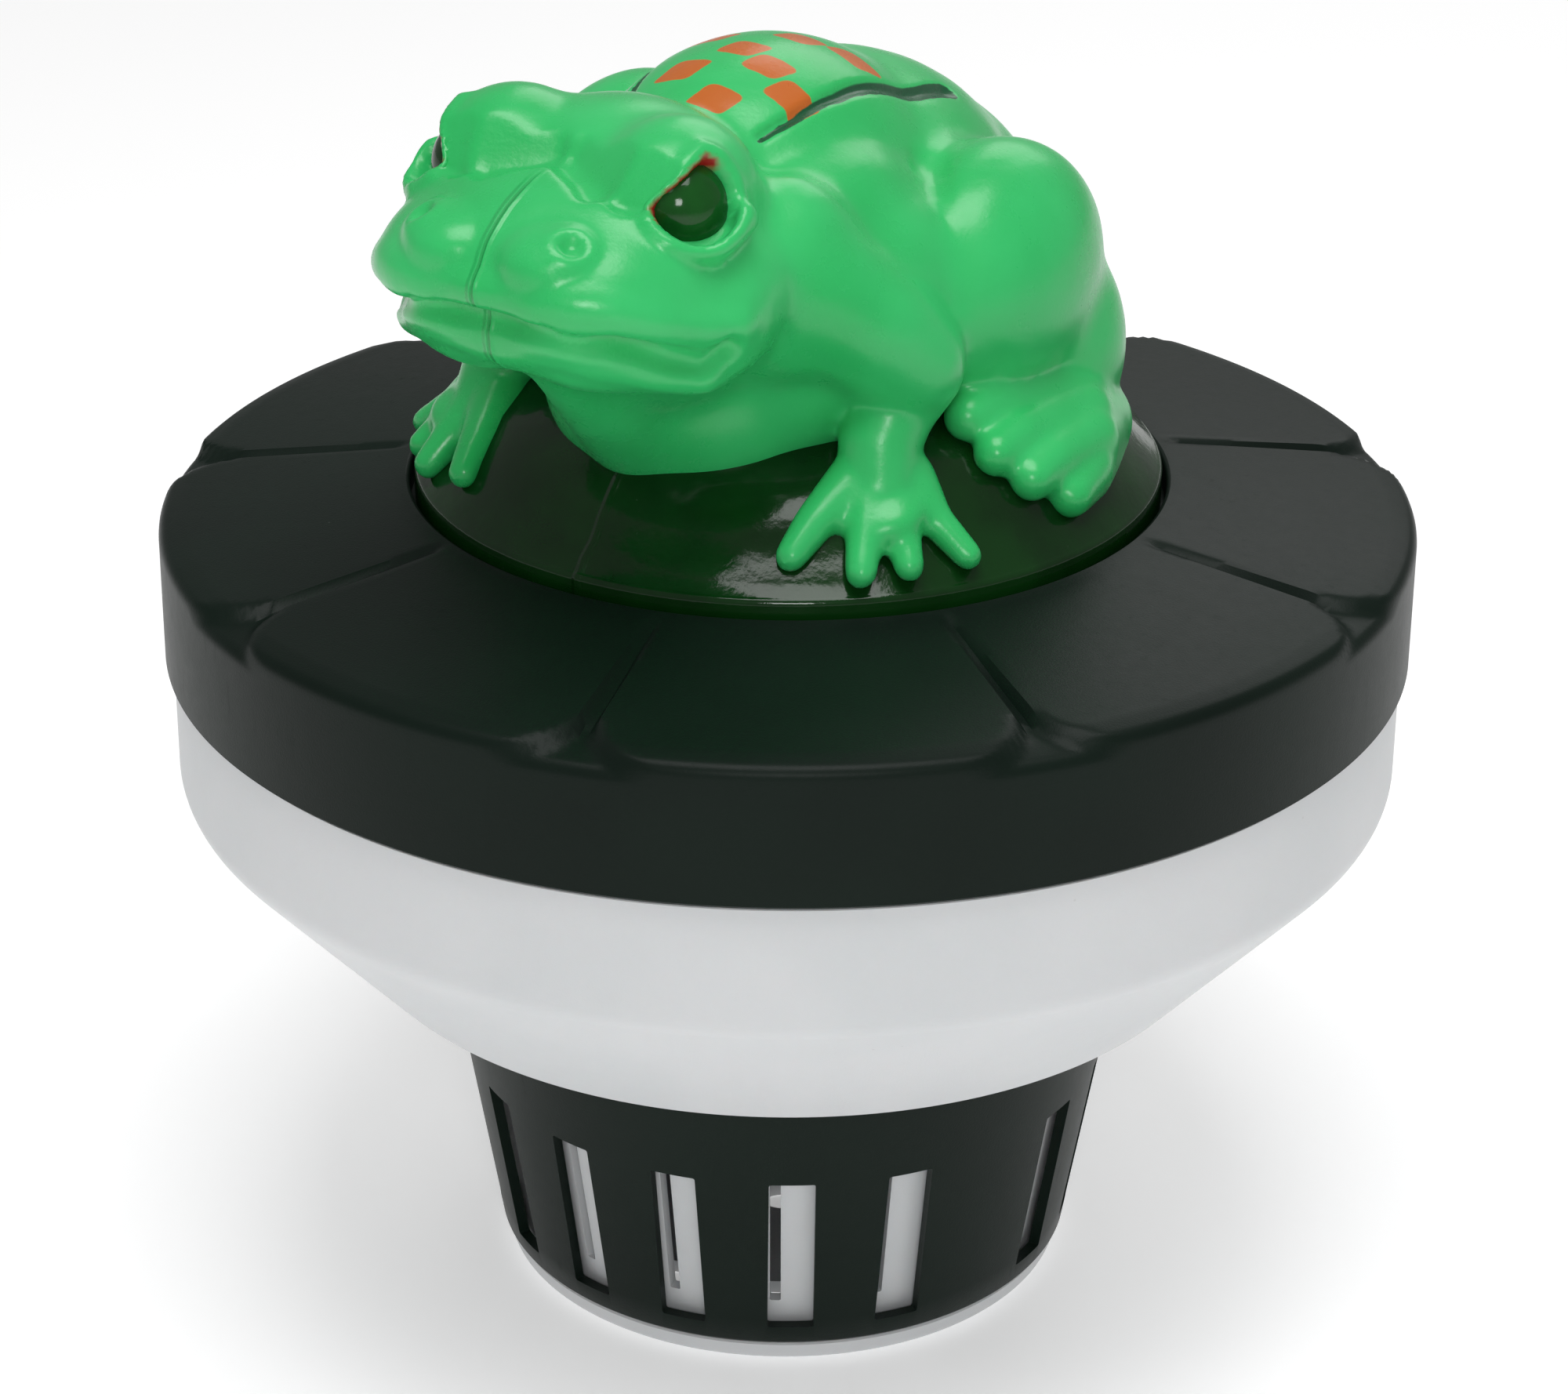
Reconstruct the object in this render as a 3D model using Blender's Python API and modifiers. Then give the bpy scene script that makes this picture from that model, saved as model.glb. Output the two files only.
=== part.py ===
"""Floating chlorine dispenser with a frog cap. Metres, +Z up.

A round float, made of a white hull and a dark lid ring, holds a slotted tablet basket in the
water. A windowed collar turns on the basket to set how much water reaches the tablets, and a
bottom cap keeps the collar on. A blow-moulded frog on a dome closes the top: its plug has two
bayonet lugs that drop through gaps in a ledge inside the lid ring's throat and turn under it.

The origin is the centre of the bottom cap's underside, and the frog faces -Y.
"""

import math

import bmesh
import bpy
from mathutils import Euler, Matrix, Vector

# --- Overall sizes -------------------------------------------------------------------------
FLOAT_RADIUS = 0.1016
COLLAR_BOTTOM_RADIUS = 0.0489
COLLAR_TAPER = 0.1667
FLOOR_LAND = 0.0130
THROAT_MARGIN = 0.0024

BOTTOM_CAP_HEIGHT = 0.0033
COLLAR_HEIGHT = 0.0579
HULL_CONE_HEIGHT = 0.0300
HULL_BAND_HEIGHT = 0.0212
SKIRT_HEIGHT = 0.0228
LID_RISE = 0.0052

# --- Walls and clearances ------------------------------------------------------------------
SEAT_GAP = 0.0003
TURN_GAP = 0.0013
HULL_WALL = 0.0025
LID_WALL = 0.0024
COLLAR_WALL = 0.0019
BASKET_WALL = 0.0022
DOME_WALL = 0.0022
FROG_WALL = 0.0034
RIM_EDGE = 0.0008

# --- Hull ----------------------------------------------------------------------------------
CREASE_TURN = 0.0060
SOCKET_DEPTH = 0.0035
RIM_BELOW_SKIRT_TOP = 0.0092
SEAL_THICKNESS = 0.0030

# --- Lid ring ------------------------------------------------------------------------------
SKIRT_STEP = 0.0013
PANEL_COUNT = 9
FIRST_SEAM = math.radians(14)
SEAM_DEPTH = 0.0019
PETAL_CORNER = 0.0120
SEAM_HALF_WIDTH = 0.0011
SEAM_FLARE = 0.0012
SEAM_BANK = 1.4
SHOULDER_ROUND = 0.0018
HOLE_RELIEF = 0.0005
HOLE_RELIEF_DEPTH = 0.0020

# --- Bayonet -------------------------------------------------------------------------------
LUG_COUNT = 2
LUG_AZIMUTH = math.radians(110)
LUG_SPREAD = math.radians(24)
LUG_THICKNESS = 0.0030
LUG_GAP = 0.0004
LEDGE_DEPTH = 0.0050
LEDGE_THICKNESS = 0.0024
LOCK_TURN = math.radians(35)
ENTRY_MARGIN = math.radians(3)
STOP_SPREAD = math.radians(2.5)
PLUG_FLOOR = 0.0024
FLANGE_THICKNESS = 0.0025

# --- Collar windows and basket slits -------------------------------------------------------
WINDOWS_PER_HALF = 8
WINDOW_PITCH = math.radians(20.76)
FIRST_WINDOW = math.radians(89.0)
WINDOW_WIDTH = 0.0076
WINDOW_HEIGHT = 0.0303
WINDOW_RISE = 0.0038
SLIT_WIDTH = 0.0018
SLIT_RISE = 0.0074
SLIT_HEIGHT = 0.0300
SLIT_LAG = math.radians(3.0)
STOP_WIDTH = 0.0030
STOP_HEIGHT = 0.0060
STOP_DROP = 0.0120
STOP_FREE = math.radians(0.4)
OPEN_TURN = math.radians(5)
CLOSE_TURN = math.radians(10)

# --- Bottom cap ----------------------------------------------------------------------------
CAP_FLOOR = 0.0022
SPIGOT_HEIGHT = 0.0050
SPIGOT_WALL = 0.0020
DRAIN_RINGS = ((0.34, 6), (0.70, 12))
DRAIN_WIDTH = 0.0060

# --- Dome and frog -------------------------------------------------------------------------
DOME_GAP = 0.0008
DOME_LIP = 0.0012
DOME_RISE_SHARE = 0.437
DRAWN_DOME_RADIUS = 0.0604
SKIN_VOXEL = 0.0021
SKIN_TRIANGLES = 4000
CAVITY_VOXEL = 0.0030
CAVITY_TRIANGLES = 600

ROUND_STEPS = 44
TOOL_REACH = 0.0060

# --- Heights and radii that follow from the sizes above -------------------------------------
COLLAR_BOTTOM_Z = BOTTOM_CAP_HEIGHT + SEAT_GAP
HULL_FLOOR_Z = COLLAR_BOTTOM_Z + COLLAR_HEIGHT - SEAT_GAP
CREASE_Z = HULL_FLOOR_Z + HULL_CONE_HEIGHT
SKIRT_BOTTOM_Z = CREASE_Z + HULL_BAND_HEIGHT
SKIRT_TOP_Z = SKIRT_BOTTOM_Z + SKIRT_HEIGHT
HULL_RIM_Z = SKIRT_TOP_Z - RIM_BELOW_SKIRT_TOP
HOLE_Z = SKIRT_TOP_Z + LID_RISE
LEDGE_TOP_Z = HOLE_Z - LEDGE_DEPTH
LEDGE_BOTTOM_Z = LEDGE_TOP_Z - LEDGE_THICKNESS
LUG_TOP_Z = LEDGE_BOTTOM_Z - 2 * SEAT_GAP
LUG_BOTTOM_Z = LUG_TOP_Z - LUG_THICKNESS
FLANGE_TOP_Z = LUG_BOTTOM_Z - SEAL_THICKNESS - 2 * SEAT_GAP
WELL_TOP_Z = FLANGE_TOP_Z - FLANGE_THICKNESS - SEAT_GAP
THROAT_BOTTOM_Z = WELL_TOP_Z - HULL_WALL - RIM_EDGE
DOME_RIM_Z = HOLE_Z + DOME_LIP


def collar_radius(z):
    """Outer radius of the tapered collar at a height."""
    return COLLAR_BOTTOM_RADIUS + COLLAR_TAPER * (z - COLLAR_BOTTOM_Z)


COLLAR_TOP_Z = HULL_FLOOR_Z + SOCKET_DEPTH
SOCKET_RADIUS = collar_radius(COLLAR_TOP_Z) + 3 * SEAT_GAP
SOCKET_TOP_Z = COLLAR_TOP_Z + 2 * SEAT_GAP
BASKET_INSET = COLLAR_WALL + TURN_GAP
BASKET_NECK_RADIUS = collar_radius(SOCKET_TOP_Z) - BASKET_INSET
WELL_RADIUS = BASKET_NECK_RADIUS + SEAT_GAP
HULL_FLOOR_RADIUS = SOCKET_RADIUS + FLOOR_LAND
HOLE_RADIUS = WELL_RADIUS + HULL_WALL + THROAT_MARGIN
DOME_RADIUS = HOLE_RADIUS - DOME_GAP
DOME_RISE = DOME_RISE_SHARE * DOME_RADIUS
DOME_BOTTOM_Z = LEDGE_TOP_Z + SEAT_GAP
PLUG_RADIUS = DOME_RADIUS - DOME_WALL - SEAT_GAP
LEDGE_RADIUS = PLUG_RADIUS + 2 * SEAT_GAP
LUG_RADIUS = HOLE_RADIUS - LUG_GAP
FROG_MM = 0.001 * DOME_RADIUS / DRAWN_DOME_RADIUS


# --- Scene helpers -------------------------------------------------------------------------
def clear_scene():
    """Remove every object, mesh and curve of the startup scene."""
    for obj in list(bpy.data.objects):
        bpy.data.objects.remove(obj, do_unlink=True)


def new_collection(name):
    """A collection linked to the scene."""
    collection = bpy.data.collections.new(name)
    bpy.context.scene.collection.children.link(collection)
    return collection


def plastic(name, colour, roughness, metallic=0.0):
    """A Principled material of one colour."""
    material = bpy.data.materials.new(name)
    material.use_nodes = True
    shader = material.node_tree.nodes["Principled BSDF"]
    shader.inputs["Base Color"].default_value = (*colour, 1.0)
    shader.inputs["Roughness"].default_value = roughness
    shader.inputs["Metallic"].default_value = metallic
    return material


def as_object(name, mesh, collection, material=None):
    """An object that holds the mesh, linked to the collection."""
    obj = bpy.data.objects.new(name, mesh)
    collection.objects.link(obj)
    if material:
        mesh.materials.append(material)
    return obj


def as_tool(obj):
    """Mark a cutter or a helper, which stays out of the model."""
    obj.hide_render = True
    obj.display_type = "WIRE"
    return obj


def boolean(obj, tool, operation):
    """Add an exact Boolean modifier."""
    modifier = obj.modifiers.new(tool.name, "BOOLEAN")
    modifier.operation = operation
    modifier.object = tool
    modifier.solver = "EXACT"
    return obj


def finished(obj):
    """Replace the object's mesh with what its modifiers make of it."""
    bpy.context.view_layer.update()
    graph = bpy.context.evaluated_depsgraph_get()
    mesh = bpy.data.meshes.new_from_object(obj.evaluated_get(graph))
    obj.modifiers.clear()
    obj.data = mesh
    return obj


def at_azimuth(radius, azimuth, z):
    """The point at an azimuth, counted from -Y (the front) towards +X."""
    return Vector((radius * math.sin(azimuth), -radius * math.cos(azimuth), z))


# --- Shape helpers -------------------------------------------------------------------------
def turned(name, profile, collection, material=None, steps=ROUND_STEPS):
    """Turn a profile of (radius, z) points about Z. It runs down the outer side."""
    mesh = bpy.data.meshes.new(name)
    on_axis = profile[0][0] == 0.0
    count = len(profile)
    edges = [(i, i + 1) for i in range(count - 1)]
    if not on_axis:
        edges.append((count - 1, 0))
    mesh.from_pydata([(radius, 0.0, z) for radius, z in profile], edges, [])
    obj = as_object(name, mesh, collection, material)
    screw = obj.modifiers.new("turn", "SCREW")
    screw.steps = steps
    screw.render_steps = steps
    screw.use_merge_vertices = True
    screw.merge_threshold = 0.00001
    screw.use_smooth_shade = True
    return obj


def arc(centre, radius, start, end, points):
    """Points of an arc in the profile plane, angles in degrees from +radius towards +Z."""
    angles = [start + (end - start) * i / (points - 1) for i in range(points)]
    return [
        (centre[0] + radius * math.cos(math.radians(a)), centre[1] + radius * math.sin(math.radians(a)))
        for a in angles
    ]


def sector(inner, outer, bottom, top, middle, spread, collection, name, steps=8, taper=0.0):
    """A block that follows a ring: a rectangle spun through an angle. Taper leans it outwards."""
    shape = bmesh.new()
    start = middle - spread / 2
    lean = taper * (top - bottom) / 2
    corners = [(inner - lean, bottom), (outer - lean, bottom), (outer + lean, top), (inner + lean, top)]
    face = shape.faces.new([shape.verts.new(at_azimuth(r, start, z)) for r, z in corners])
    bmesh.ops.spin(shape, geom=[face], cent=(0, 0, 0), axis=(0, 0, 1), angle=spread, steps=steps)
    bmesh.ops.recalc_face_normals(shape, faces=shape.faces)
    mesh = bpy.data.meshes.new(name)
    shape.to_mesh(mesh)
    shape.free()
    return as_object(name, mesh, collection)


def ring_of_boxes(name, size, radius, z, azimuths, collection):
    """Boxes stood round the axis, each facing outwards, in one mesh."""
    shape = bmesh.new()
    for azimuth in azimuths:
        place = Matrix.Translation(at_azimuth(radius, azimuth, z)) @ Matrix.Rotation(azimuth, 4, "Z")
        scale = Matrix.Diagonal((*size, 1.0))
        bmesh.ops.create_cube(shape, size=1.0, matrix=place @ scale)
    mesh = bpy.data.meshes.new(name)
    shape.to_mesh(mesh)
    shape.free()
    return as_object(name, mesh, collection)


def joined(name, objects, collection, material=None):
    """One mesh that holds the meshes of several objects, which are removed."""
    shape = bmesh.new()
    for obj in objects:
        shape.from_mesh(obj.data)
        bpy.data.objects.remove(obj, do_unlink=True)
    mesh = bpy.data.meshes.new(name)
    shape.to_mesh(mesh)
    shape.free()
    return as_object(name, mesh, collection, material)


def window_azimuths(shift=0.0):
    """Middles of the windows: two groups of eight with a blank between them."""
    return [
        FIRST_WINDOW + half * math.pi + i * WINDOW_PITCH + shift
        for half in range(2)
        for i in range(WINDOWS_PER_HALF)
    ]


def blank_azimuths():
    """Middles of the two blanks between the groups of windows."""
    half_blank = (math.pi - (WINDOWS_PER_HALF - 1) * WINDOW_PITCH) / 2
    return [FIRST_WINDOW - half_blank + half * math.pi for half in range(2)]


# --- Float hull ----------------------------------------------------------------------------
def make_float_hull(parts, material):
    """The white lower shell: band, cone, flat floor, socket for the collar, and well tube."""
    band = FLOAT_RADIUS - SKIRT_STEP
    rim = FLOAT_RADIUS - LID_WALL - SEAT_GAP
    rim_top = HULL_RIM_Z
    shoulder = SKIRT_BOTTOM_Z - SEAT_GAP
    slope = math.atan2(band - HULL_FLOOR_RADIUS, HULL_CONE_HEIGHT)
    turn = CREASE_TURN
    outer_crease = arc((band - turn, CREASE_Z + turn * math.tan(slope / 2)), turn, 0, -math.degrees(slope), 5)
    inset = HULL_WALL / math.cos(slope)
    floor_in = HULL_FLOOR_RADIUS - 0.4 * HULL_WALL
    profile = [
        (rim - HULL_WALL, rim_top),
        (rim - RIM_EDGE, rim_top),
        (rim, rim_top - RIM_EDGE),
        (rim, shoulder),
        (band, shoulder),
        *outer_crease,
        (HULL_FLOOR_RADIUS + RIM_EDGE, HULL_FLOOR_Z + RIM_EDGE),
        (HULL_FLOOR_RADIUS - RIM_EDGE, HULL_FLOOR_Z),
        (SOCKET_RADIUS, HULL_FLOOR_Z),
        (SOCKET_RADIUS, SOCKET_TOP_Z),
        (WELL_RADIUS, SOCKET_TOP_Z),
        (WELL_RADIUS, WELL_TOP_Z),
        (HOLE_RADIUS - SEAT_GAP, WELL_TOP_Z),
        (HOLE_RADIUS - SEAT_GAP, WELL_TOP_Z - HULL_WALL),
        (WELL_RADIUS + HULL_WALL, WELL_TOP_Z - HULL_WALL),
        (WELL_RADIUS + HULL_WALL, SOCKET_TOP_Z + HULL_WALL),
        (SOCKET_RADIUS + HULL_WALL, SOCKET_TOP_Z + HULL_WALL),
        (SOCKET_RADIUS + HULL_WALL, HULL_FLOOR_Z + HULL_WALL),
        (floor_in, HULL_FLOOR_Z + HULL_WALL),
        (band - HULL_WALL, CREASE_Z + inset - HULL_WALL * math.tan(slope)),
        (band - HULL_WALL, shoulder - HULL_WALL),
        (rim - HULL_WALL, shoulder),
    ]
    return turned("float_hull", profile, parts, material)


def make_hull_seal(parts, material):
    """The rubber ring between the hull's rim and the lid, which keeps the float dry."""
    low = HULL_RIM_Z + SEAT_GAP
    high = low + SEAL_THICKNESS
    outer = FLOAT_RADIUS - LID_WALL - 2 * SEAT_GAP
    inner = outer - HULL_WALL
    profile = [
        (inner + RIM_EDGE, high),
        (outer - RIM_EDGE, high),
        (outer, high - RIM_EDGE),
        (outer, low),
        (inner, low),
        (inner, high - RIM_EDGE),
    ]
    return turned("hull_seal", profile, parts, material)


# --- Lid ring ------------------------------------------------------------------------------
def lid_surface_z(radius):
    """Height of the lid's sloping top at a radius."""
    share = (radius - HOLE_RADIUS) / (FLOAT_RADIUS - HOLE_RADIUS)
    return HOLE_Z - LID_RISE * share


def seam_half_width(radius):
    """Half the width of a seam: narrow along the panels, then round the petals' corners."""
    start = FLOAT_RADIUS - PETAL_CORNER
    if radius <= start:
        return SEAM_HALF_WIDTH
    run = min(radius - start, PETAL_CORNER)
    return SEAM_HALF_WIDTH + PETAL_CORNER - math.sqrt(PETAL_CORNER**2 - run**2)


def make_seam_cutter(azimuth, tools):
    """A tapered channel cutter laid along one seam of the lid."""
    corner = FLOAT_RADIUS - PETAL_CORNER
    start = HOLE_RADIUS + 0.13 * (corner - HOLE_RADIUS)
    stations = [start, corner - PETAL_CORNER / 3]
    stations += [corner + PETAL_CORNER * math.sin(math.radians(a)) for a in (18, 36, 54, 72)]
    stations.append(FLOAT_RADIUS + TOOL_REACH)
    shape = bmesh.new()
    rings = []
    for radius in stations:
        along = min(1.0, 0.35 + 0.65 * (radius - start) / (corner - start))
        depth = SEAM_DEPTH * along
        half = seam_half_width(radius)
        bed = max(SEAM_HALF_WIDTH / 5, half - depth * SEAM_BANK)
        surface = lid_surface_z(radius)
        section = [(-half - SEAM_FLARE, surface + SEAM_FLARE), (-bed, surface - depth)]
        section += [(bed, surface - depth), (half + SEAM_FLARE, surface + SEAM_FLARE)]
        place = Matrix.Rotation(azimuth, 4, "Z")
        rings.append([shape.verts.new(place @ Vector((across, -radius, z))) for across, z in section])
    for first, second in zip(rings, rings[1:]):
        for i in range(4):
            j = (i + 1) % 4
            shape.faces.new((first[i], first[j], second[j], second[i]))
    shape.faces.new(rings[0])
    shape.faces.new(rings[-1])
    bmesh.ops.recalc_face_normals(shape, faces=shape.faces)
    mesh = bpy.data.meshes.new("seam")
    shape.to_mesh(mesh)
    shape.free()
    return as_object("seam", mesh, tools)


def lug_azimuths(shift=0.0):
    """Middles of the bayonet lugs with the cap unlocked."""
    return [LUG_AZIMUTH + i * 2 * math.pi / LUG_COUNT + shift for i in range(LUG_COUNT)]


def make_lid_ring(parts, tools, material):
    """The dark cover: skirt, nine petal panels, hole, throat and the gapped bayonet ledge."""
    inside = FLOAT_RADIUS - LID_WALL
    throat = HOLE_RADIUS + LID_WALL
    edge = arc((FLOAT_RADIUS - SHOULDER_ROUND, SKIRT_TOP_Z - SHOULDER_ROUND), SHOULDER_ROUND, 90, 0, 4)
    profile = [
        (HOLE_RADIUS, HOLE_Z),
        *edge,
        (FLOAT_RADIUS, SKIRT_BOTTOM_Z),
        (inside, SKIRT_BOTTOM_Z),
        (inside, SKIRT_TOP_Z - 2.2 * LID_WALL),
        (inside - LID_WALL, SKIRT_TOP_Z - 1.5 * LID_WALL),
        (throat, lid_surface_z(throat) - 1.4 * LID_WALL),
        (throat, THROAT_BOTTOM_Z),
        (HOLE_RADIUS, THROAT_BOTTOM_Z),
        (HOLE_RADIUS, LEDGE_BOTTOM_Z),
        (LEDGE_RADIUS, LEDGE_BOTTOM_Z),
        (LEDGE_RADIUS, LEDGE_TOP_Z),
        (HOLE_RADIUS, LEDGE_TOP_Z),
    ]
    lid = turned("lid_ring", profile, parts, material)
    pitch = 2 * math.pi / PANEL_COUNT
    seams = [make_seam_cutter(FIRST_SEAM + i * pitch, tools) for i in range(PANEL_COUNT)]
    boolean(lid, as_tool(joined("lid_seams", seams, tools)), "DIFFERENCE")
    spread = LUG_SPREAD + 2 * ENTRY_MARGIN
    entries = [
        sector(LEDGE_RADIUS - TOOL_REACH, HOLE_RADIUS, LEDGE_BOTTOM_Z - SEAT_GAP, LEDGE_TOP_Z + SEAT_GAP,
               azimuth, spread, tools, "entry")
        for azimuth in lug_azimuths()
    ]
    boolean(lid, as_tool(joined("lid_entries", entries, tools)), "DIFFERENCE")
    reliefs = [
        sector(HOLE_RADIUS - TOOL_REACH, HOLE_RADIUS + HOLE_RELIEF, HOLE_Z - HOLE_RELIEF_DEPTH,
               HOLE_Z + TOOL_REACH, azimuth, spread, tools, "relief")
        for azimuth in lug_azimuths()
    ]
    boolean(lid, as_tool(joined("lid_reliefs", reliefs, tools)), "DIFFERENCE")
    turn = LOCK_TURN + (LUG_SPREAD + STOP_SPREAD) / 2 + STOP_FREE
    stops = [
        sector(LEDGE_RADIUS + LUG_GAP, HOLE_RADIUS + LID_WALL / 2, LUG_BOTTOM_Z + SEAT_GAP,
               LEDGE_BOTTOM_Z + LEDGE_THICKNESS / 3, azimuth, STOP_SPREAD, tools, "stop", 2)
        for azimuth in lug_azimuths(-turn)
    ]
    boolean(lid, as_tool(joined("lid_stops", stops, tools)), "UNION")
    return lid


# --- Tablet basket, collar and bottom cap ---------------------------------------------------
def make_tablet_basket(parts, tools, material):
    """The white inner basket: flange on the well, straight neck, tapered slotted sleeve."""
    bottom = COLLAR_BOTTOM_Z
    outer_bottom = collar_radius(bottom) - BASKET_INSET
    outer_top = BASKET_NECK_RADIUS
    flange = HOLE_RADIUS - 2 * SEAT_GAP
    profile = [
        (outer_top - BASKET_WALL, FLANGE_TOP_Z),
        (flange, FLANGE_TOP_Z),
        (flange, FLANGE_TOP_Z - FLANGE_THICKNESS),
        (outer_top, FLANGE_TOP_Z - FLANGE_THICKNESS),
        (outer_top, SOCKET_TOP_Z),
        (outer_bottom, bottom),
        (outer_bottom - BASKET_WALL, bottom),
        (outer_top - BASKET_WALL, SOCKET_TOP_Z),
    ]
    basket = turned("tablet_basket", profile, parts, material)
    middle_radius = collar_radius(bottom + SLIT_RISE + SLIT_HEIGHT / 2) - BASKET_INSET
    slits = ring_of_boxes(
        "basket_slits",
        (SLIT_WIDTH, 4 * TOOL_REACH, SLIT_HEIGHT),
        middle_radius,
        bottom + SLIT_RISE + SLIT_HEIGHT / 2,
        window_azimuths(-SLIT_LAG),
        tools,
    )
    boolean(basket, as_tool(slits), "DIFFERENCE")
    reach = TURN_GAP - SEAT_GAP
    z = SOCKET_TOP_Z - STOP_DROP
    outer = collar_radius(z) - BASKET_INSET
    ribs = [
        sector(outer - BASKET_WALL / 2, outer + reach, z - STOP_HEIGHT / 2, z + STOP_HEIGHT / 2, azimuth,
               STOP_WIDTH / outer, tools, "rib", 2, COLLAR_TAPER)
        for azimuth in blank_azimuths()
    ]
    boolean(basket, as_tool(joined("basket_ribs", ribs, tools)), "UNION")
    return basket


def make_flow_collar(parts, tools, material):
    """The dark collar: a tapered sleeve with sixteen windows and inner stop tabs."""
    top = COLLAR_TOP_Z
    low = COLLAR_BOTTOM_Z + SEAT_GAP
    profile = [
        (collar_radius(top) - COLLAR_WALL, top),
        (collar_radius(top) - 0.0005, top),
        (collar_radius(top), top - 0.0005),
        (collar_radius(low + 0.0005), low + 0.0005),
        (collar_radius(low) - 0.0006, low),
        (collar_radius(low) - COLLAR_WALL, low),
    ]
    collar = turned("flow_collar", profile, parts, material)
    z = COLLAR_BOTTOM_Z + WINDOW_RISE + WINDOW_HEIGHT / 2
    windows = ring_of_boxes(
        "collar_windows",
        (WINDOW_WIDTH, 4 * TOOL_REACH, WINDOW_HEIGHT),
        collar_radius(z),
        z,
        window_azimuths(),
        tools,
    )
    boolean(collar, as_tool(windows), "DIFFERENCE")
    tab_z = SOCKET_TOP_Z - STOP_DROP
    inner = collar_radius(tab_z) - COLLAR_WALL
    tab_angle = STOP_WIDTH / inner
    tabs = []
    for azimuth in blank_azimuths():
        for turn in (OPEN_TURN + tab_angle + STOP_FREE, -(CLOSE_TURN + tab_angle + STOP_FREE)):
            tabs.append(
                sector(inner - TURN_GAP + SEAT_GAP, inner + COLLAR_WALL / 2, tab_z - STOP_HEIGHT / 2,
                       tab_z + STOP_HEIGHT / 2, azimuth + turn, tab_angle, tools, "tab", 2, COLLAR_TAPER)
            )
    boolean(collar, as_tool(joined("collar_tabs", tabs, tools)), "UNION")
    return collar


def make_bottom_cap(parts, tools, material):
    """The white cap under the basket: flange, spigot and drained floor."""
    flange = COLLAR_BOTTOM_RADIUS - RIM_EDGE
    spigot = collar_radius(COLLAR_BOTTOM_Z) - BASKET_INSET - BASKET_WALL - SEAT_GAP
    spigot_top = BOTTOM_CAP_HEIGHT + SPIGOT_HEIGHT
    profile = [
        (0.0, CAP_FLOOR),
        (spigot - SPIGOT_WALL, CAP_FLOOR),
        (spigot - SPIGOT_WALL, spigot_top),
        (spigot, spigot_top),
        (spigot, BOTTOM_CAP_HEIGHT),
        (flange, BOTTOM_CAP_HEIGHT),
        (flange - 0.4 * RIM_EDGE, 1.5 * RIM_EDGE),
        (flange - 1.6 * RIM_EDGE, 0.0),
        (0.0, 0.0),
    ]
    cap = turned("bottom_cap", profile, parts, material)
    slots = []
    for share, count in DRAIN_RINGS:
        radius = share * spigot
        for i in range(count):
            slots.append(
                sector(radius - DRAIN_WIDTH / 2, radius + DRAIN_WIDTH / 2, -TOOL_REACH, TOOL_REACH,
                       i * 2 * math.pi / count, 1.2 * math.pi / count, tools, "slot", 2)
            )
    boolean(cap, as_tool(joined("drain_slots", slots, tools)), "DIFFERENCE")
    return cap


# --- Cap: seal, plug, dome and frog ----------------------------------------------------------
def make_cap_seal(parts, material):
    """The rubber ring that the plug presses on the basket's flange. It passes the ledge."""
    low = FLANGE_TOP_Z + SEAT_GAP
    high = low + SEAL_THICKNESS
    outer = PLUG_RADIUS - SEAT_GAP
    inner = BASKET_NECK_RADIUS - BASKET_WALL + SEAT_GAP
    middle = (inner + outer) / 2
    profile = [
        (middle - RIM_EDGE, high),
        (middle + RIM_EDGE, high),
        (outer, high - RIM_EDGE),
        (outer, low),
        (inner, low),
        (inner, high - RIM_EDGE),
    ]
    return turned("cap_seal", profile, parts, material)


def make_cap_plug(parts, tools, material):
    """The dark plug fixed in the dome: a cup with two bayonet lugs round its foot."""
    top = DOME_RIM_Z - RIM_EDGE / 2
    profile = [
        (0.0, LUG_BOTTOM_Z + PLUG_FLOOR),
        (PLUG_RADIUS - PLUG_FLOOR, LUG_BOTTOM_Z + PLUG_FLOOR),
        (PLUG_RADIUS - PLUG_FLOOR, top),
        (PLUG_RADIUS, top),
        (PLUG_RADIUS, LUG_BOTTOM_Z),
        (0.0, LUG_BOTTOM_Z),
    ]
    plug = turned("cap_plug", profile, parts, material)
    lugs = [
        sector(PLUG_RADIUS - PLUG_FLOOR / 2, LUG_RADIUS, LUG_BOTTOM_Z, LUG_TOP_Z, azimuth, LUG_SPREAD, tools, "lug")
        for azimuth in lug_azimuths()
    ]
    boolean(plug, as_tool(joined("plug_lugs", lugs, tools)), "UNION")
    return plug


def dome_profile():
    """Outer profile of the dome, from the axis down to the rim, in radius and height."""
    share = [(0.0, 1.0), (0.30, 0.945), (0.58, 0.79), (0.80, 0.53), (0.885, 0.33), (0.925, 0.20), (0.965, 0.13)]
    return [(DOME_RADIUS * r, DOME_RIM_Z + DOME_RISE * z) for r, z in share]


def blob(centre, size, tilt=(0, 0, 0)):
    """One muscle of the frog: an ellipsoid by centre, half sizes and tilt in degrees."""
    return [(Vector(centre), Vector(size), Euler([math.radians(a) for a in tilt]))]


def limb(*joints):
    """A tapering limb: balls set closely along straight bones, each joint (x, y, z, radius)."""
    balls = []
    for start, end in zip(joints, joints[1:]):
        span = (Vector(end[:3]) - Vector(start[:3])).length
        count = max(1, math.ceil(span / (0.35 * min(start[3], end[3]))))
        for i in range(count + 1):
            mix = [a + (b - a) * i / count for a, b in zip(start, end)]
            balls.append((Vector(mix[:3]), Vector((mix[3],) * 3), Euler((0, 0, 0))))
    return balls


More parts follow.
